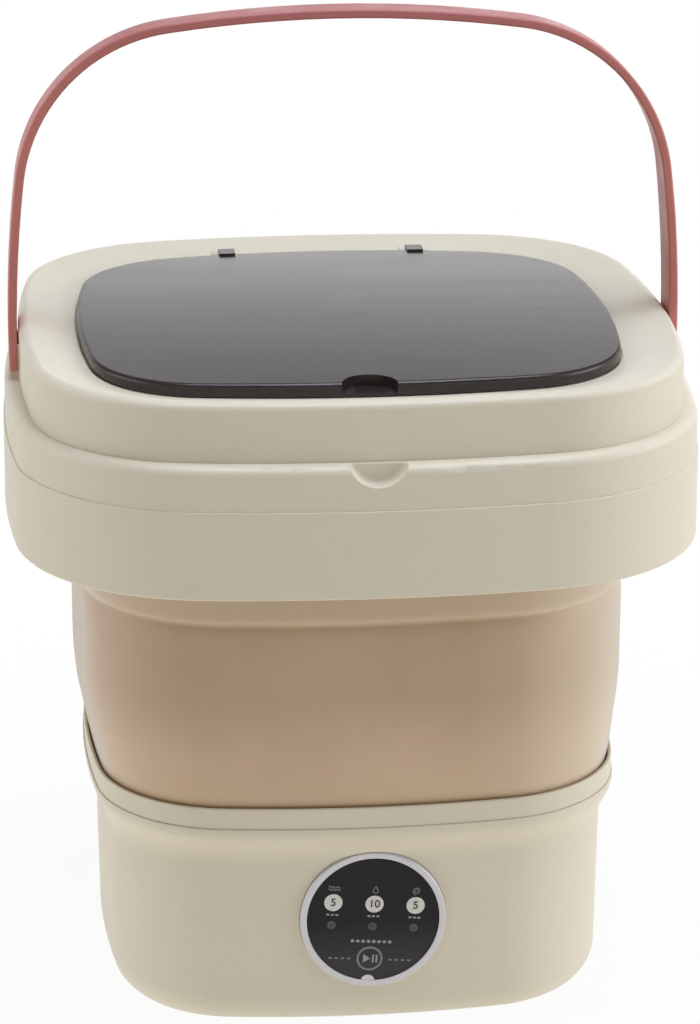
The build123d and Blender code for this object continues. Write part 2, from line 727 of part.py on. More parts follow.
def rotor_nut():
    """Nut that holds the rotor on the shaft."""
    nut = Pos(0, 0, CUP_LOW - NUT_HEIGHT) * extrude(RegularPolygon(NUT_RADIUS, 6), NUT_HEIGHT)
    return nut - upright(SHAFT_RADIUS, 0, CUP_LOW + 1)


def pulsator():
    """Shallow disc with raised blades, on the shaft's top."""
    profile = make_face(Polyline([
        (0, DISC_LOW),
        (DISC_FLAT, DISC_LOW),
        (DISC_RADIUS, DISC_LOW - DISC_DROP),
        (DISC_RADIUS, DISC_LOW - DISC_DROP + DISC_THICK),
        (DISC_FLAT, DISC_LOW + DISC_THICK),
        (0, DISC_LOW + DISC_THICK),
    ], close=True))
    disc = revolve(Plane.XZ * profile, Axis.Z)
    disc += upright(HUB_RADIUS, DISC_LOW, HUB_TOP)
    blade_low = DISC_LOW + DISC_THICK / 2
    ridge = make_face(Polyline([
        (-BLADE_WIDTH / 2, blade_low),
        (BLADE_WIDTH / 2, blade_low),
        (BLADE_CREST / 2, BLADE_TOP),
        (-BLADE_CREST / 2, BLADE_TOP),
    ], close=True))
    slope = revolve(Plane.XZ * make_face(Polyline([
        (0, blade_low),
        (DISC_RADIUS - 3, blade_low),
        (DISC_FLAT - 2, BLADE_TOP),
        (0, BLADE_TOP),
    ], close=True)), Axis.Z)
    for index in range(BLADES):
        blade = extrude(Plane.YZ * ridge, DISC_RADIUS) & slope
        disc += Rot(0, 0, 360 / BLADES * index + 90) * blade
    for x, y in spots_circle(DISC_HOLE_CIRCLE, DISC_HOLES, 15):
        disc -= upright(DISC_HOLE_RADIUS, DISC_LOW - PAST, DISC_LOW + PAST, x, y)
    disc -= upright(SHAFT_RADIUS, 0, SHAFT_TOP)
    disc -= upright(HUB_BOLT + SNUG, 0, HUB_TOP + 1)
    return disc - upright(HUB_SINK_RADIUS, HUB_TOP - HUB_SINK, HUB_TOP + 1)


def pulsator_screw():
    """Screw through the pulsator's hub into the shaft."""
    seat = HUB_TOP - HUB_SINK
    head, height = HUB_BOLT_HEAD
    return upright(HUB_BOLT, SHAFT_TOP - 10, seat) + upright(head, seat, seat + height)


def pulsator_cap():
    """Small cap over the pulsator's screw."""
    cap = upright(HUB_RADIUS, HUB_TOP, HUB_TOP + CAP_HEIGHT)
    cap = fillet(cap.edges().group_by(Axis.Z)[-1], CAP_HEIGHT - 1)
    plug_low = HUB_TOP - HUB_SINK + HUB_BOLT_HEAD[1] + 2 * SNUG
    return cap + upright(HUB_SINK_RADIUS - SNUG, plug_low, HUB_TOP + 1)


# Panel and board

def board_spots():
    """Where the board's screws stand, as (x, z) from the panel's middle."""
    spot = BOARD_HALF - BOARD_HOLE_INSET
    return [(x, z) for x in (-spot, spot) for z in (-spot, spot)]


def tab_spot():
    """How far the tab's middle lies below the panel's middle."""
    return -PANEL_DISC - 2 * SEATED


def panel_bezel():
    """Silver ring with a small half-round tab at its lowest point."""
    ring = lengthwise(PANEL_FLANGE, PANEL_FRONT, PANEL_SEAT)
    ring = fillet(ring.edges().group_by(Axis.Y)[0], BEZEL_ROUND)
    ring += lengthwise(PANEL_SLEEVE, PANEL_SEAT, PANEL_PAD_BACK - SEATED)
    ring -= lengthwise(PANEL_DISC, PANEL_FRONT - 1, PANEL_SEAT)
    ring -= lengthwise(PANEL_DISC - 1.4, PANEL_SEAT - 1, PANEL_PAD_BACK + 2)
    tab = lengthwise(TAB_RADIUS, PANEL_FRONT + 2 * SNUG, PANEL_SEAT + SEATED, 0, tab_spot())
    tab &= lengthwise(PANEL_DISC + BEZEL_ROUND, PANEL_FRONT, PANEL_SEAT + 1)
    return on_panel(ring + tab)


def panel_face():
    """Black touch disc inside the bezel."""
    face = lengthwise(PANEL_DISC, PANEL_FRONT + 2 * SEATED, PANEL_SEAT)
    return on_panel(face - lengthwise(TAB_RADIUS, PANEL_FRONT, PANEL_SEAT + 1, 0, tab_spot()))


def control_board():
    """Circuit board on four posts behind the panel."""
    board = block((-BOARD_HALF, BOARD_HALF), (BOARD_FRONT, BOARD_BACK), (-BOARD_HALF, BOARD_HALF))
    board = fillet(board.edges().filter_by(Axis.Y), BOARD_ROUND)
    for x, z in board_spots():
        board -= lengthwise(SMALL_SCREW[0] + SNUG, BOARD_FRONT - 1, BOARD_BACK + 1, x, z)
    return on_panel(board)


def board_parts():
    """Larger parts on the board: driver, processor, plug and two capacitors."""
    back = BOARD_BACK
    driver = block((-16, -6), (back, back + 2.4), (-21, -13))
    processor = block((-5, 5), (back, back + 1.4), (-5, 5))
    plug = block((6, 18), (back, back + 5.5), (-23, -17))
    large = lengthwise(3.2, back, back + 6, 12, -9)
    small = lengthwise(2.2, back, back + 4, -13, -5)
    return [on_panel(part) for part in (driver, processor, plug, large, small)]


def board_screws():
    """Screws through the board into the posts."""
    group = []
    for x, z in board_spots():
        shank = lengthwise(SMALL_SCREW[0], PANEL_PAD_BACK - 1, BOARD_BACK, x, z)
        head = lengthwise(SMALL_SCREW[1], BOARD_BACK, BOARD_BACK + BOARD_HEAD_HEIGHT, x, z)
        group.append(on_panel(shank + head))
    return group


# Back wall

def power_socket():
    """Round low-voltage socket in the back wall."""
    x, z = SOCKET_SPOT
    flange, thick = SOCKET_FLANGE
    bore_end = BACK_PAD_OUT - SOCKET_BORE_DEPTH
    body = lengthwise(SOCKET_RADIUS, BACK_PAD_OUT - SOCKET_LENGTH, BACK_PAD_OUT, x, z)
    body += lengthwise(flange, BACK_PAD_OUT, BACK_PAD_OUT + thick, x, z)
    body -= lengthwise(SOCKET_BORE, bore_end, BACK_PAD_OUT + thick + 1, x, z)
    return body + lengthwise(SOCKET_PIN, bore_end - 0.5, BACK_PAD_OUT - 0.5, x, z)


def socket_nut():
    """Nut that holds the socket from inside."""
    x, z = SOCKET_SPOT
    radius, thick = SOCKET_NUT
    nut = Pos(x, BACK_PAD_IN, z) * Rot(90, 0, 0) * extrude(RegularPolygon(radius, 6), thick)
    return nut - lengthwise(SOCKET_RADIUS, BACK_PAD_IN - PAST, BACK_PAD_IN + 1, x, z)


def drain_spout():
    """Elbow from the bowl's drain through the back wall, with a stepped end for a hose."""
    top = BOWL_FLOOR - GASKET
    flange_start = BACK_PAD_IN - DRAIN_FLANGE_THICK
    spout = upright(DRAIN_RADIUS, DRAIN_HEIGHT, top, 0, DRAIN_DROP)
    spout += lengthwise(DRAIN_RADIUS, DRAIN_DROP, SPOUT_START, 0, DRAIN_HEIGHT)
    spout += lengthwise(SPOUT_RADIUS, DRAIN_DROP, DRAIN_END, 0, DRAIN_HEIGHT)
    spout += Pos(0, DRAIN_DROP, DRAIN_HEIGHT) * Sphere(DRAIN_RADIUS)
    spout += lengthwise(DRAIN_RADIUS + DRAIN_COLLAR, flange_start, BACK_PAD_IN, 0, DRAIN_HEIGHT)
    spout -= upright(DRAIN_BORE, DRAIN_HEIGHT, top + 1, 0, DRAIN_DROP)
    spout -= Pos(0, DRAIN_DROP, DRAIN_HEIGHT) * Sphere(DRAIN_BORE)
    return spout - lengthwise(DRAIN_BORE, DRAIN_DROP, DRAIN_END + 1, 0, DRAIN_HEIGHT)


def drain_gasket():
    """Soft ring between the bowl and the spout's top."""
    return tube(DRAIN_RADIUS, DRAIN_BORE, BOWL_FLOOR - GASKET, BOWL_FLOOR, 0, DRAIN_DROP)


def drain_nut():
    """Ring nut that clamps the spout to the back wall."""
    nut = lengthwise(DRAIN_RADIUS + DRAIN_COLLAR, BACK_PAD_OUT, SPOUT_START, 0, DRAIN_HEIGHT)
    nut = fillet(nut.edges().group_by(Axis.Y)[-1], 1.0)
    return nut - lengthwise(DRAIN_RADIUS, BACK_PAD_OUT - 1, SPOUT_START + 1, 0, DRAIN_HEIGHT)


def drain_plug():
    """Rubber plug with a pull rim in the spout's mouth."""
    seat = DRAIN_END + SEATED
    plug = lengthwise(DRAIN_BORE - RUNNING, DRAIN_END - PLUG_DEPTH, seat + 1, 0, DRAIN_HEIGHT)
    rim = lengthwise(SPOUT_RADIUS - SEATED, seat, seat + PLUG_RIM, 0, DRAIN_HEIGHT)
    rim = fillet(rim.edges().group_by(Axis.Y)[-1], 1.2)
    return plug + rim


# Collar and deck

def scoop_circle():
    """Radius and middle height of the finger scoop."""
    radius = (SCOOP_HALF ** 2 + SCOOP_DEPTH ** 2) / (2 * SCOOP_DEPTH)
    return radius, LEDGE - SCOOP_DEPTH + radius


def scoop_room(radius):
    """Box round the finger scoop, between the seam and the ledge."""
    front = -COLLAR_PLAN[1] - PAST
    return block((-radius, radius), (front, SCOOP_BACK + 3 * PAST), (SEAM + 1, LEDGE))


def collar_skirt():
    """Lower wall of the collar, with the tongue and flange that go up inside the band."""
    skirt = hoop(COLLAR_PLAN, [
        (0.0, COLLAR_LOW, 2 * SEAM_ROUND),
        (-COLLAR_DRAFT, SEAM, SEAM_ROUND),
        (TONGUE_IN, SEAM),
        (TONGUE_IN - 2 * SNUG, FLANGE_TOP),
        (FLANGE_IN, FLANGE_TOP),
        (FLANGE_IN, FLANGE_TOP - WALL),
        (TONGUE_IN - WALL, FLANGE_TOP - WALL),
        (TONGUE_IN - WALL, SEAM - WALL),
        (-COLLAR_DRAFT - WALL, SEAM - 3 * WALL),
        (-WALL, COLLAR_LOW, SEAM_ROUND),
    ])
    for spot in spots_round(DECK_PLAN, BOSS_GROW, COLLAR_SCREWS):
        skirt -= upright(LARGE_SCREW[0] + 2 * SNUG, FLANGE_TOP - PAST, LEDGE, spot.X, spot.Y)
    radius, middle = scoop_circle()
    room = radius + WALL + SEATED
    recess = lengthwise(room, -COLLAR_PLAN[1], SCOOP_BACK + WALL + SEATED, 0, middle)
    return skirt - (recess & scoop_room(room))


def collar_band():
    """Upper wall of the collar, with the ledge and the finger scoop."""
    outside = -COLLAR_DRAFT - BAND_STEP
    blank = hoop(COLLAR_PLAN, [
        (outside, SEAM, SNUG),
        (outside - COLLAR_DRAFT, LEDGE, LEDGE_ROUND),
        (FLANGE_IN, LEDGE),
        (FLANGE_IN, SEAM),
    ])
    band = hoop(COLLAR_PLAN, [
        (outside, SEAM, SNUG),
        (outside - COLLAR_DRAFT, LEDGE, LEDGE_ROUND),
        (FLANGE_IN, LEDGE),
        (FLANGE_IN, FLANGE_TOP),
        (TONGUE_IN + 2 * SNUG, FLANGE_TOP),
        (TONGUE_IN + SEATED, SEAM),
    ])
    radius, middle = scoop_circle()
    pocket = lengthwise(radius + WALL, WALL - COLLAR_PLAN[1], SCOOP_BACK + WALL, 0, middle)
    band += pocket & scoop_room(radius + WALL) & blank
    scoop = lengthwise(radius, -COLLAR_PLAN[1] - PAST, SCOOP_BACK, 0, middle)
    band -= fillet(scoop.edges().group_by(Axis.Y)[-1], SCOOP_ROUND)
    for spot in spots_round(DECK_PLAN, BOSS_GROW, COLLAR_SCREWS):
        band -= upright(LARGE_SCREW[0] + 2 * SNUG, FLANGE_TOP - 1, LEDGE + 1, spot.X, spot.Y)
    return band


def top_deck():
    """Dished deck with the tub's opening, the neck for the bellows and the hinge ears."""
    deck = hoop(DECK_PLAN, [
        (0.0, LEDGE, DECK_FOOT_ROUND),
        (0.0, DECK_TOP, DECK_ROUND),
        (DISH_OUT, DECK_TOP, 2.0),
        (DISH_IN, DECK_FLOOR, 3.0),
        (DECK_INSIDE, DECK_FLOOR),
        (DECK_INSIDE, DECK_UNDER),
        (-5 * DECK_WALL, DECK_UNDER),
        (-2 * DECK_WALL, DECK_TOP - 4.0),
        (-DECK_WALL, DECK_TOP - 5.0),
        (-DECK_WALL, LEDGE),
    ])
    deck += hoop(BASE_PLAN, [
        (NECK_GROW - WALL, NECK_LOW),
        (NECK_GROW, NECK_LOW),
        (NECK_GROW, DECK_UNDER + DECK_SKIN / 3),
        (NECK_GROW - WALL, DECK_UNDER + DECK_SKIN / 3),
    ])
    for spot in spots_round(DECK_PLAN, BOSS_GROW, COLLAR_SCREWS):
        deck += upright(BOSS_RADIUS, LEDGE, DECK_UNDER + BOSS_RADIUS, spot.X, spot.Y)
        deck -= upright(LARGE_SCREW[0], LEDGE - 1, DECK_UNDER, spot.X, spot.Y)
    deck -= plate(LID_PLAN, LID_GAP, DECK_FLOOR, DECK_TOP + PAST)
    deck -= plate(LID_PLAN, OPENING_GROW, DECK_UNDER - PAST, DECK_TOP)
    deck += mirrored_ears()
    pin_in = DECK_PLAN[0] - PIVOT_DEPTH
    for side in (-1, 1):
        boss_ends = sorted((side * (pin_in - 1), side * (DECK_PLAN[0] - 1)))
        deck += crosswise(PIVOT_RADIUS + PIVOT_BOSS, *boss_ends, 0, PIVOT_Z)
        pin_ends = sorted((side * pin_in, side * STRAP_OUT))
        deck -= crosswise(PIVOT_RADIUS, *pin_ends, 0, PIVOT_Z)
    for middle in (-LUG_MIDDLE, LUG_MIDDLE):
        room = LUG_WIDTH / 2 + SEATED
        deck -= crosswise(HINGE_PIN, middle - PIN_REACH, middle + PIN_REACH, HINGE_Y, HINGE_Z)
        deck -= crosswise(LUG_RADIUS + LUG_ROOM, middle - room, middle + room, HINGE_Y, HINGE_Z)
    return deck


def mirrored_ears():
    """Two ears beside each of the lid's lugs."""
    ears = []
    for middle in (-LUG_MIDDLE, LUG_MIDDLE):
        for side in (-1, 1):
            near = middle + side * (LUG_WIDTH / 2 + SEATED)
            ends = sorted((near, near + side * EAR_WIDTH))
            foot = (DECK_UNDER + DECK_SKIN / 3, HINGE_Z)
            ears.append(crosswise(EAR_RADIUS, *ends, HINGE_Y, HINGE_Z))
            ears.append(block(ends, (HINGE_Y - EAR_RADIUS, HINGE_Y + EAR_RADIUS), foot))
    return ears


def neck_hoop():
    """Band that holds the bellows round the deck's neck."""
    inner = UPPER_GROW + SEATED
    outer = inner + HOOP_THICK
    return hoop(BASE_PLAN, [
        (inner, HOOP_LOW, SEAM_ROUND),
        (outer, HOOP_LOW, SEAM_ROUND),
        (outer, DECK_UNDER),
        (inner, DECK_UNDER),
    ])


def collar_screws():
    """Screws through both flanges into the deck's bosses."""
    seat = FLANGE_TOP - WALL
    spots = spots_round(DECK_PLAN, BOSS_GROW, COLLAR_SCREWS)
    return [screw_up(LARGE_SCREW, spot.X, spot.Y, seat, DECK_UNDER - 2) for spot in spots]


# Lid and strap

def lid():
    """Dark crowned lid with a finger notch in front and two hinge lugs behind."""
    crown = (LID_PLAN[0] ** 2 + LID_RISE ** 2) / (2 * LID_RISE)
    cover = plate(LID_PLAN, 0, LID_LOW, LID_CROWN + 1)
    cover &= Pos(0, 0, LID_CROWN - crown) * Sphere(crown)
    cover = fillet(cover.faces().sort_by(Axis.Z)[-1].edges(), LID_ROUND)
    cover -= plate(LID_PLAN, -LID_SKIN, LID_LOW - 1, LID_HOLLOW)
    rib_out = OPENING_GROW - LID_GAP
    rib = plate(LID_PLAN, rib_out, LID_LOW - RIB_DROP, LID_HOLLOW + 1)
    cover += rib - plate(LID_PLAN, rib_out - RIB_THICK, LID_LOW - PAST, LID_HOLLOW + 2)
    notch_block = upright(NOTCH_RADIUS + NOTCH_WALL, LID_LOW, LID_HOLLOW + 1, 0, -LID_PLAN[1])
    cover += notch_block & plate(LID_PLAN, -SNUG, LID_LOW, LID_EDGE)
    cover -= upright(NOTCH_RADIUS, LID_LOW + NOTCH_FLOOR, LID_CROWN + PAST, 0, -LID_PLAN[1])
    for middle in (-LUG_MIDDLE, LUG_MIDDLE):
        room = PIN_REACH + SEATED
        ends = (middle - LUG_WIDTH / 2, middle + LUG_WIDTH / 2)
        cover -= crosswise(EAR_RADIUS + 2 * SEATED, middle - room, middle + room, HINGE_Y, HINGE_Z)
        cover += crosswise(LUG_RADIUS, *ends, HINGE_Y, HINGE_Z)
        cover += block(ends, (HINGE_Y - LUG_REACH, HINGE_Y), (LID_LOW, HINGE_Z + LUG_RADIUS))
        cover -= crosswise(HINGE_PIN + RUNNING, *ends, HINGE_Y, HINGE_Z)
    return cover


def hinge_pins():
    """Short pins through ears and lugs."""
    middles = (-LUG_MIDDLE, LUG_MIDDLE)
    return [crosswise(HINGE_PIN, x - PIN_REACH, x + PIN_REACH, HINGE_Y, HINGE_Z) for x in middles]


def strap():
    """Carrying strap: the deck's own outline stood on edge, so that it folds down round the deck."""
    reach = DECK_PLAN[1] + STRAP_GAP + STRAP_THICK + PAST
    foot = STRAP_FOOT + PAST
    ring = make_face(outline(DECK_PLAN, STRAP_GAP + STRAP_THICK)) - make_face(outline(DECK_PLAN, STRAP_GAP))
    ring &= Pos(0, (reach - foot) / 2) * Rectangle(3 * DECK_PLAN[0], reach + foot)
    standing = Plane((0, 0, PIVOT_Z), x_dir=(1, 0, 0), z_dir=(0, -1, 0))
    band = extrude(standing * ring, STRAP_WIDE, both=True)
    wide = STRAP_WIDE / 2
    narrow = STRAP_NARROW / 2
    waist_low = PIVOT_Z + WAIST_START
    waist_high = waist_low + WAIST_LENGTH
    side_view = section([
        (-wide, PIVOT_Z - STRAP_FOOT, FOOT_CORNER),
        (wide, PIVOT_Z - STRAP_FOOT, FOOT_CORNER),
        (wide, waist_low, WAIST_BLEND),
        (narrow, waist_high, WAIST_BLEND),
        (narrow, PIVOT_Z + reach),
        (-narrow, PIVOT_Z + reach),
        (-narrow, waist_high, WAIST_BLEND),
        (-wide, waist_low, WAIST_BLEND),
    ])
    band &= extrude(Plane.YZ * side_view, 2 * DECK_PLAN[0], both=True)
    band = fillet([edge for edge in band.edges() if edge.length > 1.1 * STRAP_THICK], STRAP_ROUND)
    for side in (-1, 1):
        hole_ends = sorted((side * (STRAP_IN - PAST), side * (STRAP_OUT + PAST)))
        head_ends = sorted((side * PIVOT_SEAT, side * (STRAP_OUT + PAST)))
        band -= crosswise(PIVOT_RADIUS + RUNNING, *hole_ends, 0, PIVOT_Z)
        band -= crosswise(PIVOT_HEAD + SEATED, *head_ends, 0, PIVOT_Z)
    return band


def strap_pivots():
    """Shoulder pins that carry the strap, heads sunk in it."""
    seat = PIVOT_SEAT + SEATED
    shank = crosswise(PIVOT_RADIUS, DECK_PLAN[0] - PIVOT_DEPTH, seat, 0, PIVOT_Z)
    return mirrored(shank + crosswise(PIVOT_HEAD, seat, STRAP_OUT, 0, PIVOT_Z))


PIECES = {
    "base_shell": base_shell,
    "base_rim": base_rim,
    "bottom_cover": bottom_cover,
    "cover_screws": cover_screws,
    "feet": feet,
    "tub_bowl": tub_bowl,
    "bellows": bellows,
    "bearing_housing": bearing_housing,
    "housing_screws": housing_screws,
    "shaft_bearings": shaft_bearings,
    "shaft_seal": shaft_seal,
    "drive_shaft": drive_shaft,
    "motor_stator": motor_stator,
    "stator_coils": stator_coils,
    "magnet_ring": magnet_ring,
    "rotor_cup": rotor_cup,
    "rotor_nut": rotor_nut,
    "pulsator": pulsator,
    "pulsator_screw": pulsator_screw,
    "pulsator_cap": pulsator_cap,
    "panel_bezel": panel_bezel,
    "panel_face": panel_face,
    "control_board": control_board,
    "board_parts": board_parts,
    "board_screws": board_screws,
    "power_socket": power_socket,
    "socket_nut": socket_nut,
    "drain_spout": drain_spout,
    "drain_gasket": drain_gasket,
    "drain_nut": drain_nut,
    "drain_plug": drain_plug,
    "collar_skirt": collar_skirt,
    "collar_band": collar_band,
    "top_deck": top_deck,
    "neck_hoop": neck_hoop,
    "collar_screws": collar_screws,
    "lid": lid,
    "hinge_pins": hinge_pins,
    "strap": strap,
    "strap_pivots": strap_pivots,
}


os.makedirs("parts", exist_ok=True)
for name, make in PIECES.items():
    shape = make()
    if isinstance(shape, list):
        shape = Compound(children=shape)
    export_step(shape, f"parts/{name}.step")
    print(name, round(shape.volume), len(shape.solids()))
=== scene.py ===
"""Looks of the folding washing machine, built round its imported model. Metres, +Z up, front at -Y."""

import json
from math import atan2, cos, hypot, pi, radians, sin, sqrt, tau

import bmesh
import bpy
from mathutils import Matrix, Vector


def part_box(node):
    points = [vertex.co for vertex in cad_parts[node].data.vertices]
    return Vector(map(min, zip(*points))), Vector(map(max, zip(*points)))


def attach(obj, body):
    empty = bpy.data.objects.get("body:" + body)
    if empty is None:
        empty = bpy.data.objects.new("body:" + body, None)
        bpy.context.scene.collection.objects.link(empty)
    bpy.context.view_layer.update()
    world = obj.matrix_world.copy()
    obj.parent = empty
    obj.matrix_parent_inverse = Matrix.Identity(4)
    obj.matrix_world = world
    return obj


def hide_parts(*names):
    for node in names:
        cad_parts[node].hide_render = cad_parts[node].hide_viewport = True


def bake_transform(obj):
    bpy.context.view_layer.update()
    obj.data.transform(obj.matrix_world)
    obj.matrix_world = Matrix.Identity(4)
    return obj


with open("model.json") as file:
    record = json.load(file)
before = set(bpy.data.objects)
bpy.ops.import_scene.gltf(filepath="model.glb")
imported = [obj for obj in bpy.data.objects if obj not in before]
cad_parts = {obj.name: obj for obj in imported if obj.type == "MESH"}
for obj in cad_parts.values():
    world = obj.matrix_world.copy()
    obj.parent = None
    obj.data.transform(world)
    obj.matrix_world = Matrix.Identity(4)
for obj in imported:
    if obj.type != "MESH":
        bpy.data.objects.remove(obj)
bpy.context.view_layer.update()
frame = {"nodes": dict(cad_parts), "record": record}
MM = 0.001

# Camera of the photograph, worked out from the object's edges
CAMERA_AZIMUTH = -5.90
CAMERA_ELEVATION = 18.69
CAMERA_ROLL = 0.19
CAMERA_TARGET = (0.0032, 0.0, 0.2101)
CAMERA_DISTANCE = 1.665
CAMERA_LENS = 126.46

# Base outline from above, in millimetres: half width, half depth, corner and side radius
BASE_PLAN = (121.0, 119.0, 62.0, 466.0)

# Bellows from foot to neck: how far out from the base outline, and how high, in millimetres
BELLOWS_LINE = (
    (-4.9, 102.3), (-4.9, 105.0), (-4.2, 106.2), (-2.9, 107.5), (-2.1, 110.3),
    (-1.45, 113.8), (-0.1, 121.0), (1.4, 131.0), (2.95, 141.0), (3.7, 149.0),
    (4.0, 158.0), (4.1, 172.0), (4.05, 186.0), (3.9, 193.8), (3.5, 197.4),
    (3.1, 199.0), (3.2, 200.0), (4.0, 200.9), (4.7, 202.0), (4.95, 204.3),
    (5.0, 212.0), (4.9, 222.0), (4.8, 240.0), (4.8, 262.0), (4.8, 280.0), (4.8, 296.4),
)
BELLOWS_WALL = 2.1
BELLOWS_AROUND = 420
BELLOWS_STEP = 1.5
BELLOWS_DENT = 0.35
BELLOWS_SWAY = 1.1

# Heights in millimetres: where the bellows is clamped and free, and between which it dents and sways
BELLOWS_HELD_TO = 116.0
BELLOWS_FREE_FROM = 138.0
BELLOWS_FREE_TO = 246.0
BELLOWS_HELD_FROM = 276.0

# Ranges in metres over which colours change, most of them for painted light and shade on the bellows
# and the strap: heights, and the bellows' right side in X
BELLOWS_FOOT_SHADE = (0.106, 0.117)
BELLOWS_LIT_LOW = (0.113, 0.150)
BELLOWS_UPPER_SHADE = (0.150, 0.165)
BELLOWS_LIT_BAND = (0.2003, 0.2023)
BELLOWS_LIT_RIGHT = (0.045, 0.12)
PANEL_LOW = (0.036, 0.056)
STRAP_TOP_SHADE = (0.40, 0.44)

# Nodes with bevelled edges, the bevel's width in millimetres, and the least bend in degrees
EDGE_ROUNDS = {"lid": 0.2, "collar_skirt": 0.4, "base_shell": 0.4}
EDGE_SEGMENTS = 2
EDGE_ANGLE = 55

# Round panel: clockwise turn in degrees, middle in millimetres, and its front in metres
PANEL_TURN = 4.6
PANEL_CENTRE = (2.3, 57.0)
PANEL_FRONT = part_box("panel_face")[0].y

# Prints on the panel, in millimetres from its middle; a bar is its width and height
PRINT_THICK = 0.08
KEY_SPREAD = 18.5
KEY_HEIGHT = 7.4
KEY_RADIUS = 4.1
NUMBER_SIZE = 5.2
NUMBER_OFFSET = 0.0624
SIGN_HEIGHT = 14.4
SIGN_LINE = 0.42
UNIT_DROP = 5.9
UNIT_PITCH = 2.0
UNIT_BAR = (1.5, 0.9)
INDICATOR_DROP = 10.9
INDICATOR_RADIUS = 1.45
INDICATOR_RIM = 1.85
DASHES = 8
DASH_PITCH = 2.4
DASH_HEIGHT = -10.9
DASH_BAR = (1.7, 1.5)
START_KEY = (0.0, -19.3)
START_RADIUS = 5.9
START_LINE = 1.0
HINT_SPREAD = 13.6
HINT_HEIGHT = -19.6
HINT_SHIFTS = (-4.2, -1.4, 1.4, 4.2)
HINT_BAR = (1.7, 0.8)

# Floor: radius and colours, and pairs of a distance in metres from the middle and the share
# there, of white in its look and of its light close by and far off
FLOOR_RADIUS = 6.0
FLOOR_GREY = (0.93, 0.93, 0.93, 1.0)
FLOOR_WHITE = ((0.15, 0.93), (0.5, 1.0))
FLOOR_UNDER = ((0.09, 0.7), (0.18, 1.0))
FLOOR_AWAY = ((0.3, 1.0), (0.8, 0.8))
FLOOR_TINT = (1.0, 0.96, 0.885, 1.0)

# Surroundings: a direction's Z and how bright it looks, its Y and how much light it gives
SKY_LOOK = ((0.17, 1.0), (0.38, 0.2))
SKY_LIGHT = ((-0.95, 0.05), (-0.6, 0.17))
SKY_TINT = (1.0, 0.955, 0.865, 1.0)
WHITE = (1.0, 1.0, 1.0, 1.0)

# Softboxes: name, place, side in metres, power in watts and colour
LAMP_AIM = (0.0, 0.0, 0.2)
LAMPS = (
    ("softbox_top", (0.2, -0.2, 2.4), 1.4, 36.0, (0.94, 1.0, 1.11)),
    ("softbox_right", (2.1, -0.35, 0.8), 1.6, 23.0, (0.97, 1.0, 1.05)),
    ("softbox_left", (-2.1, 0.0, 0.7), 1.6, 11.5, (0.985, 1.0, 1.02)),
    ("softbox_back", (0.3, 2.4, 0.43), 0.9, 3.0, (1.0, 1.0, 1.0)),
)

# Range that most of a noise's values lie in, and the colour mixer's sockets
NOISE_MIDDLE = (0.3, 0.7)
MIX_SHARE = 0
MIX_FIRST = 6
MIX_SECOND = 7
MIX_RESULT = 2


def srgb(red, green, blue):
    """Linear colour of an 8-bit display colour."""
    linear = []
    for channel in (red, green, blue):
        value = channel / 255
        linear.append(value / 12.92 if value <= 0.04045 else ((value + 0.055) / 1.055) ** 2.4)
    return (*linear, 1.0)


# Materials

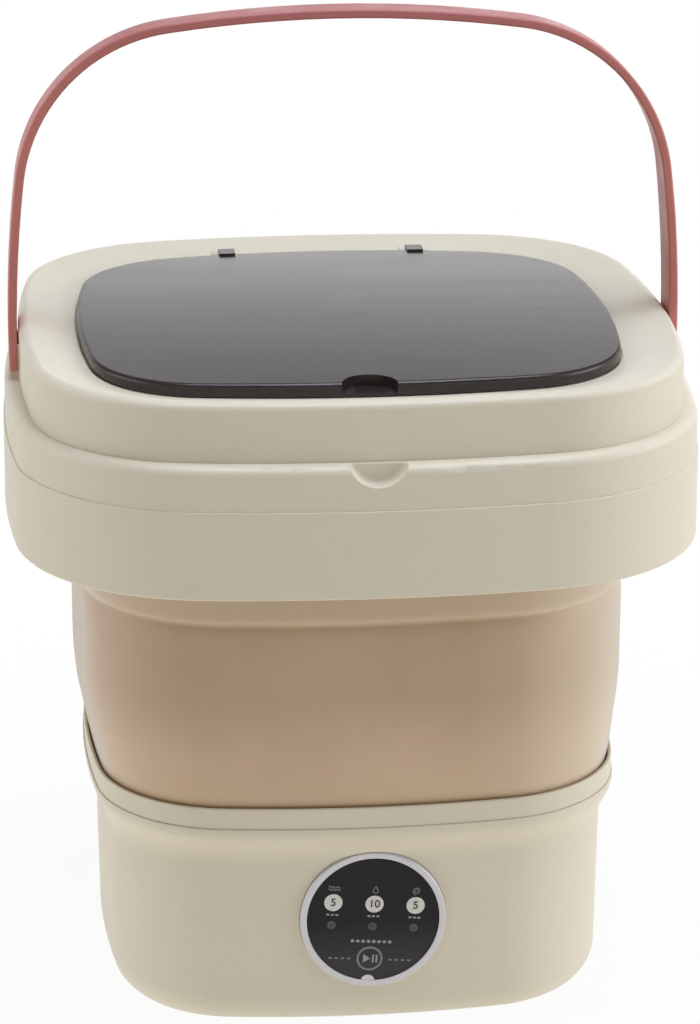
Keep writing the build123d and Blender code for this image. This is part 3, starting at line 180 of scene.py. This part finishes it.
class Finish:
    """A procedural material on one principled shader, patterned in the object's own space."""

    def __init__(self, name, colour, roughness, metallic=0.0):
        self.material = bpy.data.materials.new(name)
        self.material.use_nodes = True
        self.tree = self.material.node_tree
        self.shader = self.tree.nodes["Principled BSDF"]
        self.set("Base Color", srgb(*colour))
        self.set("Roughness", roughness)
        self.set("Metallic", metallic)
        self.space = self.tree.nodes.new("ShaderNodeTexCoord").outputs["Object"]
        self.material.diffuse_color = srgb(*colour)

    def set(self, socket, value):
        """Gives one of the shader's sockets a constant."""
        self.shader.inputs[socket].default_value = value

    def link(self, output, node_input):
        """Joins two sockets."""
        self.tree.links.new(output, node_input)

    def noise(self, scale, detail, stretch=(1.0, 1.0, 1.0), twist=0.0):
        """Cloudy values from 0 to 1; scale is in patches per metre."""
        mapping = self.tree.nodes.new("ShaderNodeMapping")
        mapping.inputs["Scale"].default_value = stretch
        self.link(self.space, mapping.inputs["Vector"])
        noise = self.tree.nodes.new("ShaderNodeTexNoise")
        noise.inputs["Scale"].default_value = scale
        noise.inputs["Detail"].default_value = detail
        noise.inputs["Distortion"].default_value = twist
        self.link(mapping.outputs["Vector"], noise.inputs["Vector"])
        return noise.outputs["Fac"]

    def spread(self, value, low, high, to_low, to_high):
        """The value carried from one range to another and held there."""
        node = self.tree.nodes.new("ShaderNodeMapRange")
        node.inputs["From Min"].default_value = low
        node.inputs["From Max"].default_value = high
        node.inputs["To Min"].default_value = to_low
        node.inputs["To Max"].default_value = to_high
        self.link(value, node.inputs["Value"])
        return node.outputs["Result"]

    def place(self, axis):
        """One coordinate in the object's own space, in metres."""
        node = self.tree.nodes.new("ShaderNodeSeparateXYZ")
        self.link(self.space, node.inputs["Vector"])
        return node.outputs[axis]

    def tint(self, factor, colour):
        """Mixes a second colour into the base colour by the factor."""
        base = self.shader.inputs["Base Color"]
        mix = self.tree.nodes.new("ShaderNodeMix")
        mix.data_type = "RGBA"
        mix.inputs[MIX_FIRST].default_value = base.default_value
        if base.is_linked:
            self.link(base.links[0].from_socket, mix.inputs[MIX_FIRST])
        mix.inputs[MIX_SECOND].default_value = srgb(*colour)
        self.link(factor, mix.inputs[MIX_SHARE])
        self.link(mix.outputs[MIX_RESULT], base)

    def gloss(self, value, low, high):
        """Lets the roughness follow a value."""
        self.link(self.spread(value, *NOISE_MIDDLE, low, high), self.shader.inputs["Roughness"])

    def bump(self, value, depth, strength):
        """Adds relief of that depth in metres."""
        node = self.tree.nodes.new("ShaderNodeBump")
        node.inputs["Strength"].default_value = strength
        node.inputs["Distance"].default_value = depth
        self.link(value, node.inputs["Height"])
        normal = self.shader.inputs["Normal"]
        if normal.is_linked:
            self.link(normal.links[0].from_socket, node.inputs["Normal"])
        self.link(node.outputs["Normal"], normal)


def cream():
    """Matte moulded plastic with a fine spark-eroded grain."""
    finish = Finish("cream", (228, 220, 201), 0.48)
    finish.set("Specular IOR Level", 0.6)
    finish.tint(finish.spread(finish.noise(9, 3), 0.35, 0.75, 0, 0.5), (224, 215, 194))
    finish.tint(finish.spread(finish.noise(260, 4), 0.55, 0.8, 0, 0.25), (213, 204, 184))
    finish.gloss(finish.noise(60, 3), 0.42, 0.54)
    finish.bump(finish.noise(1500, 2), 0.00006, 0.5)
    finish.bump(finish.noise(22, 2), 0.0006, 0.25)
    return finish.material


def grey_plastic():
    """Plain grey plastic of hidden parts."""
    finish = Finish("grey_plastic", (176, 176, 178), 0.5)
    finish.tint(finish.spread(finish.noise(40, 3), 0.4, 0.7, 0, 0.4), (160, 160, 163))
    finish.bump(finish.noise(1200, 2), 0.00006, 0.5)
    return finish.material


def bowl_plastic():
    """Smooth off-white plastic of the tub's rigid parts."""
    finish = Finish("bowl_plastic", (224, 222, 215), 0.3)
    finish.tint(finish.spread(finish.noise(14, 3), 0.4, 0.7, 0, 0.4), (212, 210, 202))
    finish.gloss(finish.noise(70, 3), 0.26, 0.38)
    finish.bump(finish.noise(900, 2), 0.00003, 0.4)
    return finish.material


def tan_rubber():
    """Soft tan rubber with flow lines and a bloom; painted shade under the collar and at its foot,
    painted light lower down, on the band above the fold and on its right side.
    """
    finish = Finish("tan_rubber", (195, 163, 128), 0.52)
    flow = finish.noise(48, 3, (1.0, 1.0, 0.12), 0.4)
    finish.tint(finish.spread(flow, 0.35, 0.7, 0, 0.5), (182, 150, 114))
    finish.tint(finish.spread(finish.noise(11, 3), 0.45, 0.72, 0, 0.6), (212, 183, 150))
    height = finish.place("Z")
    # Painted shade: darker higher up, under the collar's overhang
    finish.tint(finish.spread(height, *BELLOWS_UPPER_SHADE, 0, 0.3), (158, 126, 88))
    # Painted light: paler lower down, out of the collar's shade
    finish.tint(finish.spread(height, *BELLOWS_LIT_LOW, 0.6, 0), (206, 178, 142))
    # Painted shade: deeper and more orange at the foot, where it meets the rim
    finish.tint(finish.spread(height, *BELLOWS_FOOT_SHADE, 0.8, 0), (176, 138, 84))
    # Painted light: paler on the band above the fold
    finish.tint(finish.spread(height, *BELLOWS_LIT_BAND, 0, 0.6), (212, 189, 160))
    # Painted light and sheen: paler towards the right side
    finish.tint(finish.spread(finish.place("X"), *BELLOWS_LIT_RIGHT, 0, 0.5), (232, 217, 193))
    finish.gloss(finish.noise(45, 3), 0.5, 0.62)
    finish.bump(finish.noise(1100, 2), 0.00008, 0.5)
    finish.bump(finish.noise(34, 3, (1.0, 1.0, 0.35)), 0.0008, 0.3)
    finish.set("Specular IOR Level", 0.7)
    finish.set("Coat Weight", 1.0)
    finish.set("Coat Roughness", 0.4)
    finish.set("Sheen Weight", 1.0)
    finish.set("Sheen Roughness", 0.35)
    finish.set("Sheen Tint", (1.0, 0.98, 0.95, 1.0))
    finish.set("Subsurface Weight", 0.12)
    finish.set("Subsurface Radius", (0.004, 0.002, 0.001))
    finish.set("Subsurface Scale", 1.0)
    return finish.material


def black_rubber():
    """Dull black rubber."""
    finish = Finish("black_rubber", (42, 41, 40), 0.78)
    finish.tint(finish.spread(finish.noise(120, 4), 0.5, 0.75, 0, 0.5), (62, 60, 58))
    finish.bump(finish.noise(900, 3), 0.0001, 0.6)
    return finish.material


def steel(name, colour, roughness, grain):
    """Bright metal with fine drawn lines."""
    finish = Finish(name, colour, roughness, 1.0)
    lines = finish.noise(grain, 4, (1.0, 1.0, 0.05))
    finish.gloss(lines, roughness - 0.08, roughness + 0.12)
    finish.bump(lines, 0.00004, 0.5)
    return finish.material


def cast_alloy():
    """Pale cast metal with a granular skin."""
    finish = Finish("cast_alloy", (178, 180, 182), 0.46, 1.0)
    finish.bump(finish.noise(1300, 4), 0.00015, 0.7)
    finish.gloss(finish.noise(220, 4), 0.4, 0.58)
    return finish.material


def copper():
    """Enamelled copper wire, wound across each tooth."""
    finish = Finish("copper", (196, 112, 62), 0.3, 1.0)
    wave = finish.tree.nodes.new("ShaderNodeTexWave")
    wave.bands_direction = "Z"
    wave.inputs["Scale"].default_value = 420
    finish.link(finish.space, wave.inputs["Vector"])
    finish.bump(wave.outputs["Fac"], 0.0003, 0.8)
    finish.gloss(finish.noise(180, 3), 0.24, 0.4)
    return finish.material


def magnet():
    """Dark sintered magnet."""
    finish = Finish("magnet", (66, 66, 70), 0.55, 0.6)
    finish.bump(finish.noise(700, 4), 0.0001, 0.6)
    finish.gloss(finish.noise(150, 3), 0.48, 0.62)
    return finish.material


def silver():
    """Silver lacquer on plastic."""
    finish = Finish("silver", (214, 211, 215), 0.34, 0.35)
    finish.tint(finish.spread(finish.noise(2400, 2), 0.5, 0.7, 0, 0.4), (194, 191, 198))
    finish.gloss(finish.noise(90, 3), 0.3, 0.4)
    return finish.material


def panel_black():
    """Glossy black touch panel, a little greyer at its lower edge."""
    finish = Finish("panel_black", (30, 27, 30), 0.16)
    finish.set("Specular IOR Level", 0.2)
    finish.tint(finish.spread(finish.noise(30, 3), 0.45, 0.7, 0, 0.5), (36, 33, 37))
    finish.tint(finish.spread(finish.place("Z"), *PANEL_LOW, 0.5, 0), (80, 77, 80))
    finish.gloss(finish.noise(55, 4), 0.13, 0.24)
    return finish.material


def board_green():
    """Solder mask with faint copper traces under it."""
    finish = Finish("board", (24, 92, 54), 0.38)
    bricks = finish.tree.nodes.new("ShaderNodeTexBrick")
    bricks.inputs["Scale"].default_value = 240
    bricks.inputs["Mortar Size"].default_value = 0.035
    finish.link(finish.space, bricks.inputs["Vector"])
    finish.tint(finish.spread(bricks.outputs["Fac"], 0, 1, 0, 0.5), (52, 130, 84))
    finish.bump(finish.noise(800, 2), 0.00003, 0.4)
    return finish.material


def dark_plastic(name, colour):
    """Matte black plastic of chips and sockets."""
    finish = Finish(name, colour, 0.55)
    finish.tint(finish.spread(finish.noise(300, 3), 0.5, 0.7, 0, 0.4), (58, 57, 57))
    finish.bump(finish.noise(1400, 2), 0.00006, 0.5)
    return finish.material


def lid_dark():
    """Dark grey-brown semi-gloss lid with a fine grain, faint streaks and rub marks."""
    finish = Finish("lid_dark", (48, 40, 39), 0.26)
    finish.set("Specular IOR Level", 0.45)
    finish.tint(finish.spread(finish.noise(8, 3), 0.4, 0.7, 0, 0.5), (54, 46, 45))
    finish.tint(finish.spread(finish.noise(1700, 3), 0.6, 0.8, 0, 0.35), (74, 67, 66))
    streaks = finish.noise(340, 3, (0.04, 1.0, 1.0))
    finish.tint(finish.spread(streaks, 0.45, 0.75, 0, 0.4), (66, 58, 57))
    rubs = finish.noise(26, 5, (0.25, 1.6, 1.0), 0.6)
    finish.gloss(rubs, 0.23, 0.27)
    finish.bump(finish.noise(1600, 2), 0.00006, 0.45)
    return finish.material


def strap_red(name, colour, roughness):
    """Dusty red plastic, paler where hands rub it, with painted shade darkening the top of the arch.
    """
    finish = Finish(name, colour, roughness)
    finish.tint(finish.spread(finish.noise(16, 3), 0.4, 0.72, 0, 0.5), (188, 109, 102))
    finish.tint(finish.spread(finish.noise(500, 4), 0.58, 0.8, 0, 0.4), (204, 134, 128))
    # Painted shade: darker on top of the arch, under the top lamp
    finish.tint(finish.spread(finish.place("Z"), *STRAP_TOP_SHADE, 0, 0.45), (168, 96, 104))
    finish.gloss(finish.noise(70, 3), roughness - 0.05, roughness + 0.08)
    finish.bump(finish.noise(1300, 2), 0.00007, 0.5)
    return finish.material


def print_ink(name, colour, roughness=0.5):
    """Screen-printed ink with a slightly uneven coat."""
    finish = Finish(name, colour, roughness)
    darker = tuple(channel * 0.86 for channel in colour)
    finish.tint(finish.spread(finish.noise(1500, 2), 0.45, 0.75, 0, 0.5), darker)
    finish.bump(finish.noise(2600, 1), 0.00002, 0.4)
    return finish.material


SLOT_FINISHES = {
    "cream": cream(),
    "grey_plastic": grey_plastic(),
    "bowl_plastic": bowl_plastic(),
    "tan_rubber": tan_rubber(),
    "black_rubber": black_rubber(),
    "steel": steel("steel", (168, 168, 172), 0.3, 700),
    "zinc_steel": steel("zinc_steel", (186, 188, 190), 0.32, 900),
    "core_steel": steel("core_steel", (112, 114, 120), 0.42, 1400),
    "cast_alloy": cast_alloy(),
    "copper": copper(),
    "magnet": magnet(),
    "silver": silver(),
    "panel_black": panel_black(),
    "board": board_green(),
    "chip_black": dark_plastic("chip_black", (38, 38, 38)),
    "socket_black": dark_plastic("socket_black", (44, 44, 44)),
    "lid_dark": lid_dark(),
    "strap_red": strap_red("strap_red", (198, 120, 112), 0.4),
    "strap_red_hard": strap_red("strap_red_hard", (186, 110, 102), 0.34),
}


def dress_nodes():
    """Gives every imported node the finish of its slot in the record."""
    for part in frame["record"]["subparts"]:
        node = frame["nodes"][part["node"]]
        node.data.materials.clear()
        node.data.materials.append(SLOT_FINISHES[part["material_slot"]])


def break_edges():
    """Narrow bevels on moulded edges, which catch the light."""
    for name, width in EDGE_ROUNDS.items():
        edge = frame["nodes"][name].modifiers.new("edge_round", "BEVEL")
        edge.width = width * MM
        edge.segments = EDGE_SEGMENTS
        edge.limit_method = "ANGLE"
        edge.angle_limit = radians(EDGE_ANGLE)


# Meshes

def add_mesh(name, vertices, faces, material, smooth=True):
    """New object from vertices in metres."""
    mesh = bpy.data.meshes.new(name)
    mesh.from_pydata(vertices, [], faces)
    mesh.materials.append(material)
    for polygon in mesh.polygons:
        polygon.use_smooth = smooth
    mesh.update()
    piece = bpy.data.objects.new(name, mesh)
    bpy.context.scene.collection.objects.link(piece)
    return piece


def outline_ring(plan, count):
    """Evenly spread points on the outline with their outward directions, in millimetres."""
    half_x, half_y, corner, side = plan
    u = side - half_x
    v = side - half_y
    slope = v / u
    offset = (u * u + v * v) / (2 * u)
    a = slope * slope + 1
    b = 2 * slope * offset
    c = offset * offset - (side - corner) ** 2
    middle_y = (-b + sqrt(b * b - 4 * a * c)) / (2 * a)
    middle_x = slope * middle_y + offset - u
    first = atan2(middle_y, middle_x + u)
    last = atan2(middle_y + v, middle_x)
    arcs = (
        ((-u, 0.0), side, 0.0, first),
        ((middle_x, middle_y), corner, first, last),
        ((0.0, -v), side, last, pi / 2),
    )
    quarter = []
    length = sum(radius * (end - start) for _, radius, start, end in arcs)
    for (x, y), radius, start, end in arcs:
        steps = max(2, round(count / 4 * radius * (end - start) / length))
        for index in range(steps):
            angle = start + (end - start) * index / steps
            nx = cos(angle)
            ny = sin(angle)
            quarter.append((x + radius * nx, y + radius * ny, nx, ny))
    top = (0.0, half_y, 0.0, 1.0)
    right = quarter[0]
    back_left = [(-x, y, -nx, ny) for x, y, nx, ny in reversed(quarter[1:])]
    left = [(-right[0], 0.0, -1.0, 0.0)]
    upper = quarter + [top] + back_left + left
    lower = [(x, -y, nx, -ny) for x, y, nx, ny in reversed(upper[1:-1])]
    return upper + lower


def smooth_line(points, step):
    """Even points on a smooth line through the given ones."""
    line = []
    last = len(points) - 1
    for index in range(last):
        before = points[max(index - 1, 0)]
        start = points[index]
        end = points[index + 1]
        after = points[min(index + 2, last)]
        pieces = max(2, round(hypot(end[0] - start[0], end[1] - start[1]) / step))
        for part in range(pieces):
            t = part / pieces
            line.append(tuple(
                0.5 * (2 * q + (r - p) * t + (2 * p - 5 * q + 4 * r - s) * t * t
                       + (3 * q - p - 3 * r + s) * t ** 3)
                for p, q, r, s in zip(before, start, end, after)))
    line.append(points[last])
    return line


def freedom(height):
    """How free the bellows is at a height: 0 at its clamped ends, 1 between them."""
    above_foot = (height - BELLOWS_HELD_TO) / (BELLOWS_FREE_FROM - BELLOWS_HELD_TO)
    below_neck = (BELLOWS_HELD_FROM - height) / (BELLOWS_HELD_FROM - BELLOWS_FREE_TO)
    return min(1.0, max(0.0, above_foot)) * min(1.0, max(0.0, below_neck))


def dent(angle, height):
    """Soft unevenness in millimetres: three waves, scaled to stay within the bellows' dent."""
    waves = sin(3 * angle + 0.8 + height / 23) + 0.7 * sin(7 * angle - height / 17)
    waves += 0.5 * sin(12 * angle + 1.9 + height / 11) * sin(height / 9)
    return BELLOWS_DENT * freedom(height) * waves / 2.2


def make_bellows():
    """Closed soft skin from the base's rim to the deck's neck, creased by a fold, denting and swaying
    between them.
    """
    ring = outline_ring(BASE_PLAN, BELLOWS_AROUND)
    outer = smooth_line(BELLOWS_LINE, BELLOWS_STEP)
    inner = [(grow - BELLOWS_WALL, height) for grow, height in outer]
    profile = outer + inner[::-1]
    vertices = []
    for x, y, nx, ny in ring:
        angle = atan2(y, x)
        for grow, height in profile:
            reach = grow + dent(angle, height)
            sway = BELLOWS_SWAY * freedom(height)
            vertices.append(((x + nx * reach - sway) * MM, (y + ny * reach) * MM, height * MM))
    faces = []
    rows = len(profile)
    for column in range(len(ring)):
        following = (column + 1) % len(ring)
        for row in range(rows):
            above = (row + 1) % rows
            faces.append((column * rows + row, following * rows + row,
                          following * rows + above, column * rows + above))
    piece = add_mesh("bellows_skin", vertices, faces, SLOT_FINISHES["tan_rubber"])
    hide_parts("bellows")
    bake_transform(piece)


# Prints on the round panel

def on_panel(x, up, proud):
    """Point on the turned panel, that far in front of its face."""
    turn = radians(-PANEL_TURN)
    return (
        (PANEL_CENTRE[0] + x * cos(turn) - up * sin(turn)) * MM,
        PANEL_FRONT - proud * MM,
        (PANEL_CENTRE[1] + x * sin(turn) + up * cos(turn)) * MM,
    )


def circle(x, up, radius, count=48):
    """Points round a circle."""
    points = []
    for index in range(count):
        angle = tau * index / count
        points.append((x + radius * cos(angle), up + radius * sin(angle)))
    return points


def bar(x, up, width, height):
    """Rounded bar about its middle."""
    end = height / 2
    points = []
    for middle, start in ((x + width / 2 - end, -pi / 2), (x - width / 2 + end, pi / 2)):
        for index in range(9):
            angle = start + pi * index / 8
            points.append((middle + end * cos(angle), up + end * sin(angle)))
    return points


def rectangle(x, up, width, height):
    """Square-cornered bar about its middle."""
    half_width = width / 2
    half_height = height / 2
    return [(x - half_width, up - half_height), (x + half_width, up - half_height),
            (x + half_width, up + half_height), (x - half_width, up + half_height)]


def stroke(points, width, closed=False):
    """Outline of a line of even width through the points."""
    count = len(points)
    left = []
    right = []
    for index, (x, y) in enumerate(points):
        before = points[index - 1] if index or closed else points[index]
        after = points[(index + 1) % count] if index + 1 < count or closed else points[index]
        dx = after[0] - before[0]
        dy = after[1] - before[1]
        size = hypot(dx, dy)
        nx = -dy / size * width / 2
        ny = dx / size * width / 2
        left.append((x + nx, y + ny))
        right.append((x - nx, y - ny))
    if closed:
        return left, right
    return left + right[::-1]


def print_shapes(name, shapes, material):
    """Thin raised prints; a shape is one outline, or an outer and an inner one."""
    vertices = []
    faces = []
    for shape in shapes:
        ringed = isinstance(shape, tuple)
        loops = shape if ringed else (shape,)
        count = len(loops[0])
        start = len(vertices)
        for proud in (0.0, PRINT_THICK):
            for loop in loops:
                vertices += [on_panel(x, up, proud) for x, up in loop]
        if ringed:
            low_out, low_in, top_out, top_in = (start + k * count for k in range(4))
            for i in range(count):
                j = (i + 1) % count
                faces.append((top_out + i, top_out + j, top_in + j, top_in + i))
                faces.append((low_out + j, low_out + i, low_in + i, low_in + j))
                faces.append((low_out + i, low_out + j, top_out + j, top_out + i))
                faces.append((low_in + j, low_in + i, top_in + i, top_in + j))
        else:
            faces.append(tuple(start + count + i for i in range(count)))
            faces.append(tuple(start + count - 1 - i for i in range(count)))
            for i in range(count):
                j = (i + 1) % count
                faces.append((start + i, start + j, start + count + j, start + count + i))
    piece = add_mesh(name, vertices, faces, material, smooth=False)
    work = bmesh.new()
    work.from_mesh(piece.data)
    bmesh.ops.recalc_face_normals(work, faces=work.faces)
    work.to_mesh(piece.data)
    work.free()
    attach(piece, "base")


def print_number(name, text, x, up, material):
    """Plain number on a key."""
    curve = bpy.data.curves.new(name, "FONT")
    curve.body = text
    curve.size = NUMBER_SIZE * MM
    curve.align_x = "CENTER"
    curve.align_y = "CENTER"
    curve.extrude = PRINT_THICK / 2 * MM
    curve.offset = NUMBER_OFFSET * MM
    writing = bpy.data.objects.new(name + "_line", curve)
    bpy.context.scene.collection.objects.link(writing)
    bpy.context.view_layer.update()
    mesh = bpy.data.meshes.new_from_object(writing)
    bpy.data.objects.remove(writing)
    piece = bpy.data.objects.new(name, mesh)
    bpy.context.scene.collection.objects.link(piece)
    stand = Matrix.Rotation(radians(PANEL_TURN), 4, "Y") @ Matrix.Rotation(radians(90), 4, "X")
    proud = 1.5 * PRINT_THICK
    mesh.transform(Matrix.Translation(on_panel(x, up, proud)) @ stand)
    mesh.materials.clear()
    mesh.materials.append(material)
    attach(piece, "base")


def wave_sign(x, up):
    """Two short waves, for washing."""
    half_width = 2.7
    swing = 0.45
    lines = []
    for lift in (0.55, -0.75):
        points = []
        for index in range(13):
            across = index * half_width / 6 - half_width
            points.append((x + across, up + lift + swing * sin(index * 1.55)))
        lines.append(stroke(points, SIGN_LINE))
    return lines


def drop_sign(x, up):
    """A falling drop, for rinsing: a circle drawn out and narrowed towards its top."""
    radius = 1.15
    middle = up - 0.55
    points = []
    for index in range(20):
        angle = tau * index / 20
        rise = max(0.0, sin(angle))
        narrow = 1.0 - 0.45 * rise ** 2
        pull = 1.0 + 0.85 * rise ** 5
        points.append((x + radius * cos(angle) * narrow, middle + radius * sin(angle) * pull))
    return [stroke(points, SIGN_LINE, closed=True)]


def spin_sign(x, up):
    """A turning spiral, for spinning."""
    inner = 0.35
    growth = 0.058
    points = []
    for index in range(27):
        angle = index * 0.42
        reach = inner + index * growth
        points.append((x + reach * cos(angle), up + reach * sin(angle)))
    return [stroke(points, SIGN_LINE)]


def start_sign(x, up):
    """Triangle and two bars, for start and pause."""
    left = x - 2.9
    tip = x + 0.4
    half_height = 2.0
    play = [(left, up - half_height), (tip, up), (left, up + half_height)]
    pause = [rectangle(x + shift, up, 0.84, 3.9) for shift in (1.55, 3.15)]
    return [play] + pause


def print_keys(spots):
    """White keys with their numbers."""
    white = print_ink("key_white", (226, 225, 222))
    ink = print_ink("number_ink", (34, 32, 36))
    print_shapes("number_keys", [circle(x, up, KEY_RADIUS) for x, up in spots], white)
    for (x, up), text in zip(spots, ("5", "10", "5")):
        name = f"key_number_{round(x)}".replace("-", "m")
        print_number(name, text, x, up, ink)


def print_indicators(spots):
    """A dark lens in a paler rim below each key."""
    lens = print_ink("indicator_lens", (64, 60, 58), 0.25)
    rim = print_ink("indicator_rim", (92, 88, 86), 0.4)
    lenses = [circle(x, up - INDICATOR_DROP, INDICATOR_RADIUS) for x, up in spots]
    edges = [circle(x, up - INDICATOR_DROP, INDICATOR_RIM) for x, up in spots]
    print_shapes("indicator_rims", zip(edges, lenses), rim)
    print_shapes("indicators", lenses, lens)


def make_prints():
    """Keys, signs, indicators and dashes on the black disc."""
    faint = print_ink("sign_grey", (128, 126, 134))
    bright = print_ink("unit_grey", (158, 156, 160))
    spots = [(-KEY_SPREAD, KEY_HEIGHT), (0.0, KEY_HEIGHT), (KEY_SPREAD, KEY_HEIGHT)]
    print_keys(spots)
    signs = wave_sign(-KEY_SPREAD, SIGN_HEIGHT)
    signs += drop_sign(0.0, SIGN_HEIGHT)
    signs += spin_sign(KEY_SPREAD, SIGN_HEIGHT)
    print_shapes("key_signs", signs, faint)
    shifts = (-UNIT_PITCH, 0.0, UNIT_PITCH)
    units = [bar(x + shift, up - UNIT_DROP, *UNIT_BAR) for x, up in spots for shift in shifts]
    print_shapes("key_units", units, bright)
    print_indicators(spots)
    first = -DASH_PITCH * (DASHES - 1) / 2
    dashes = [bar(first + DASH_PITCH * index, DASH_HEIGHT, *DASH_BAR) for index in range(DASHES)]
    print_shapes("level_dashes", dashes, bright)
    x, up = START_KEY
    ring = (circle(x, up, START_RADIUS), circle(x, up, START_RADIUS - START_LINE))
    print_shapes("start_ring", [ring], faint)
    print_shapes("start_sign", start_sign(x, up), bright)
    hints = []
    for middle in (-HINT_SPREAD, HINT_SPREAD):
        hints += [bar(middle + shift, HINT_HEIGHT, *HINT_BAR) for shift in HINT_SHIFTS]
    print_shapes("side_hints", hints, faint)


# Studio

def ranged(tree, value, start, end):
    """The value carried smoothly between two (from, to) pairs and held outside them."""
    node = tree.nodes.new("ShaderNodeMapRange")
    node.interpolation_type = "SMOOTHSTEP"
    node.inputs["From Min"].default_value = start[0]
    node.inputs["From Max"].default_value = end[0]
    node.inputs["To Min"].default_value = start[1]
    node.inputs["To Max"].default_value = end[1]
    tree.links.new(value, node.inputs["Value"])
    return node.outputs["Result"]


def combined(tree, operation, first, second):
    """Result of one operation on two values."""
    node = tree.nodes.new("ShaderNodeMath")
    node.operation = operation
    tree.links.new(first, node.inputs[0])
    tree.links.new(second, node.inputs[1])
    return node.outputs["Value"]


def seen_rays(tree):
    """1 for rays from the camera, off gloss or through glass, and 0 for rays that light."""
    path = tree.nodes.new("ShaderNodeLightPath")
    seen = combined(tree, "MAXIMUM", path.outputs["Is Camera Ray"], path.outputs["Is Glossy Ray"])
    return combined(tree, "MAXIMUM", seen, path.outputs["Is Transmission Ray"])


def mixed(tree, share, first, second):
    """Mix of two shaders; a share of 1 is all of the second."""
    node = tree.nodes.new("ShaderNodeMixShader")
    tree.links.new(share, node.inputs[0])
    tree.links.new(first, node.inputs[1])
    tree.links.new(second, node.inputs[2])
    return node.outputs["Shader"]


def make_floor():
    """Pale floor that keeps the object's shadow and fades to plain white away from it."""
    bpy.ops.mesh.primitive_circle_add(
        vertices=96, radius=FLOOR_RADIUS, fill_type="NGON", location=(0, 0, 0))
    floor = bpy.context.object
    floor.name = "studio_floor"
    material = bpy.data.materials.new("floor_white")
    material.use_nodes = True
    tree = material.node_tree
    diffuse = tree.nodes["Principled BSDF"]
    diffuse.inputs["Base Color"].default_value = FLOOR_GREY
    diffuse.inputs["Roughness"].default_value = 0.9
    diffuse.inputs["Specular IOR Level"].default_value = 0.0
    glow = tree.nodes.new("ShaderNodeEmission")
    light = tree.nodes.new("ShaderNodeEmission")
    light.inputs["Color"].default_value = FLOOR_TINT
    space = tree.nodes.new("ShaderNodeTexCoord")
    length = tree.nodes.new("ShaderNodeVectorMath")
    length.operation = "LENGTH"
    tree.links.new(space.outputs["Object"], length.inputs[0])
    distance = length.outputs["Value"]
    under = ranged(tree, distance, *FLOOR_UNDER)
    away = ranged(tree, distance, *FLOOR_AWAY)
    tree.links.new(combined(tree, "MULTIPLY", under, away), light.inputs["Strength"])
    white = ranged(tree, distance, *FLOOR_WHITE)
    look = mixed(tree, white, diffuse.outputs["BSDF"], glow.outputs["Emission"])
    surface = mixed(tree, seen_rays(tree), light.outputs["Emission"], look)
    tree.links.new(surface, tree.nodes["Material Output"].inputs["Surface"])
    floor.data.materials.append(material)


def make_world():
    """White surroundings, dimmer overhead, that light the object more gently than they look."""
    world = bpy.data.worlds.new("studio")
    bpy.context.scene.world = world
    world.use_nodes = True
    tree = world.node_tree
    space = tree.nodes.new("ShaderNodeTexCoord")
    split = tree.nodes.new("ShaderNodeSeparateXYZ")
    tree.links.new(space.outputs["Generated"], split.inputs["Vector"])
    look = tree.nodes["Background"]
    look.inputs["Color"].default_value = WHITE
    tree.links.new(ranged(tree, split.outputs["Z"], *SKY_LOOK), look.inputs["Strength"])
    light = tree.nodes.new("ShaderNodeBackground")
    light.inputs["Color"].default_value = SKY_TINT
    tree.links.new(ranged(tree, split.outputs["Y"], *SKY_LIGHT), light.inputs["Strength"])
    surface = mixed(tree, seen_rays(tree), light.outputs["Background"], look.outputs["Background"])
    tree.links.new(surface, tree.nodes["World Output"].inputs["Surface"])


def make_lamp(name, place, size, power, colour):
    """Square softbox aimed at the object's middle."""
    lamp = bpy.data.lights.new(name, "AREA")
    lamp.shape = "SQUARE"
    lamp.size = size
    lamp.energy = power
    lamp.color = colour
    holder = bpy.data.objects.new(name, lamp)
    holder.location = place
    aim = Vector(LAMP_AIM) - Vector(place)
    holder.rotation_mode = "QUATERNION"
    holder.rotation_quaternion = aim.to_track_quat("-Z", "Y")
    bpy.context.scene.collection.objects.link(holder)


def make_camera():
    """Camera at the photograph's angle."""
    azimuth = radians(CAMERA_AZIMUTH)
    elevation = radians(CAMERA_ELEVATION)
    roll = radians(CAMERA_ROLL)
    back = Vector((sin(azimuth) * cos(elevation), -cos(azimuth) * cos(elevation), sin(elevation)))
    right = (-back).cross(Vector((0, 0, 1))).normalized()
    up = right.cross(-back)
    level = right * cos(roll) + up * sin(roll)
    raised = up * cos(roll) - right * sin(roll)
    data = bpy.data.cameras.new("camera")
    data.lens = CAMERA_LENS
    data.clip_start = 0.05
    data.clip_end = 50
    camera = bpy.data.objects.new("camera", data)
    place = Vector(CAMERA_TARGET) + back * CAMERA_DISTANCE
    turned = Matrix((level, raised, back)).transposed().to_4x4()
    camera.matrix_world = Matrix.Translation(place) @ turned
    bpy.context.scene.collection.objects.link(camera)
    bpy.context.scene.camera = camera


def make_studio():
    """Floor, surroundings, soft lamps and camera."""
    bpy.context.scene.view_settings.view_transform = "Standard"
    make_floor()
    make_world()
    for lamp in LAMPS:
        make_lamp(*lamp)
    make_camera()


dress_nodes()
break_edges()
make_bellows()
make_prints()
make_studio()
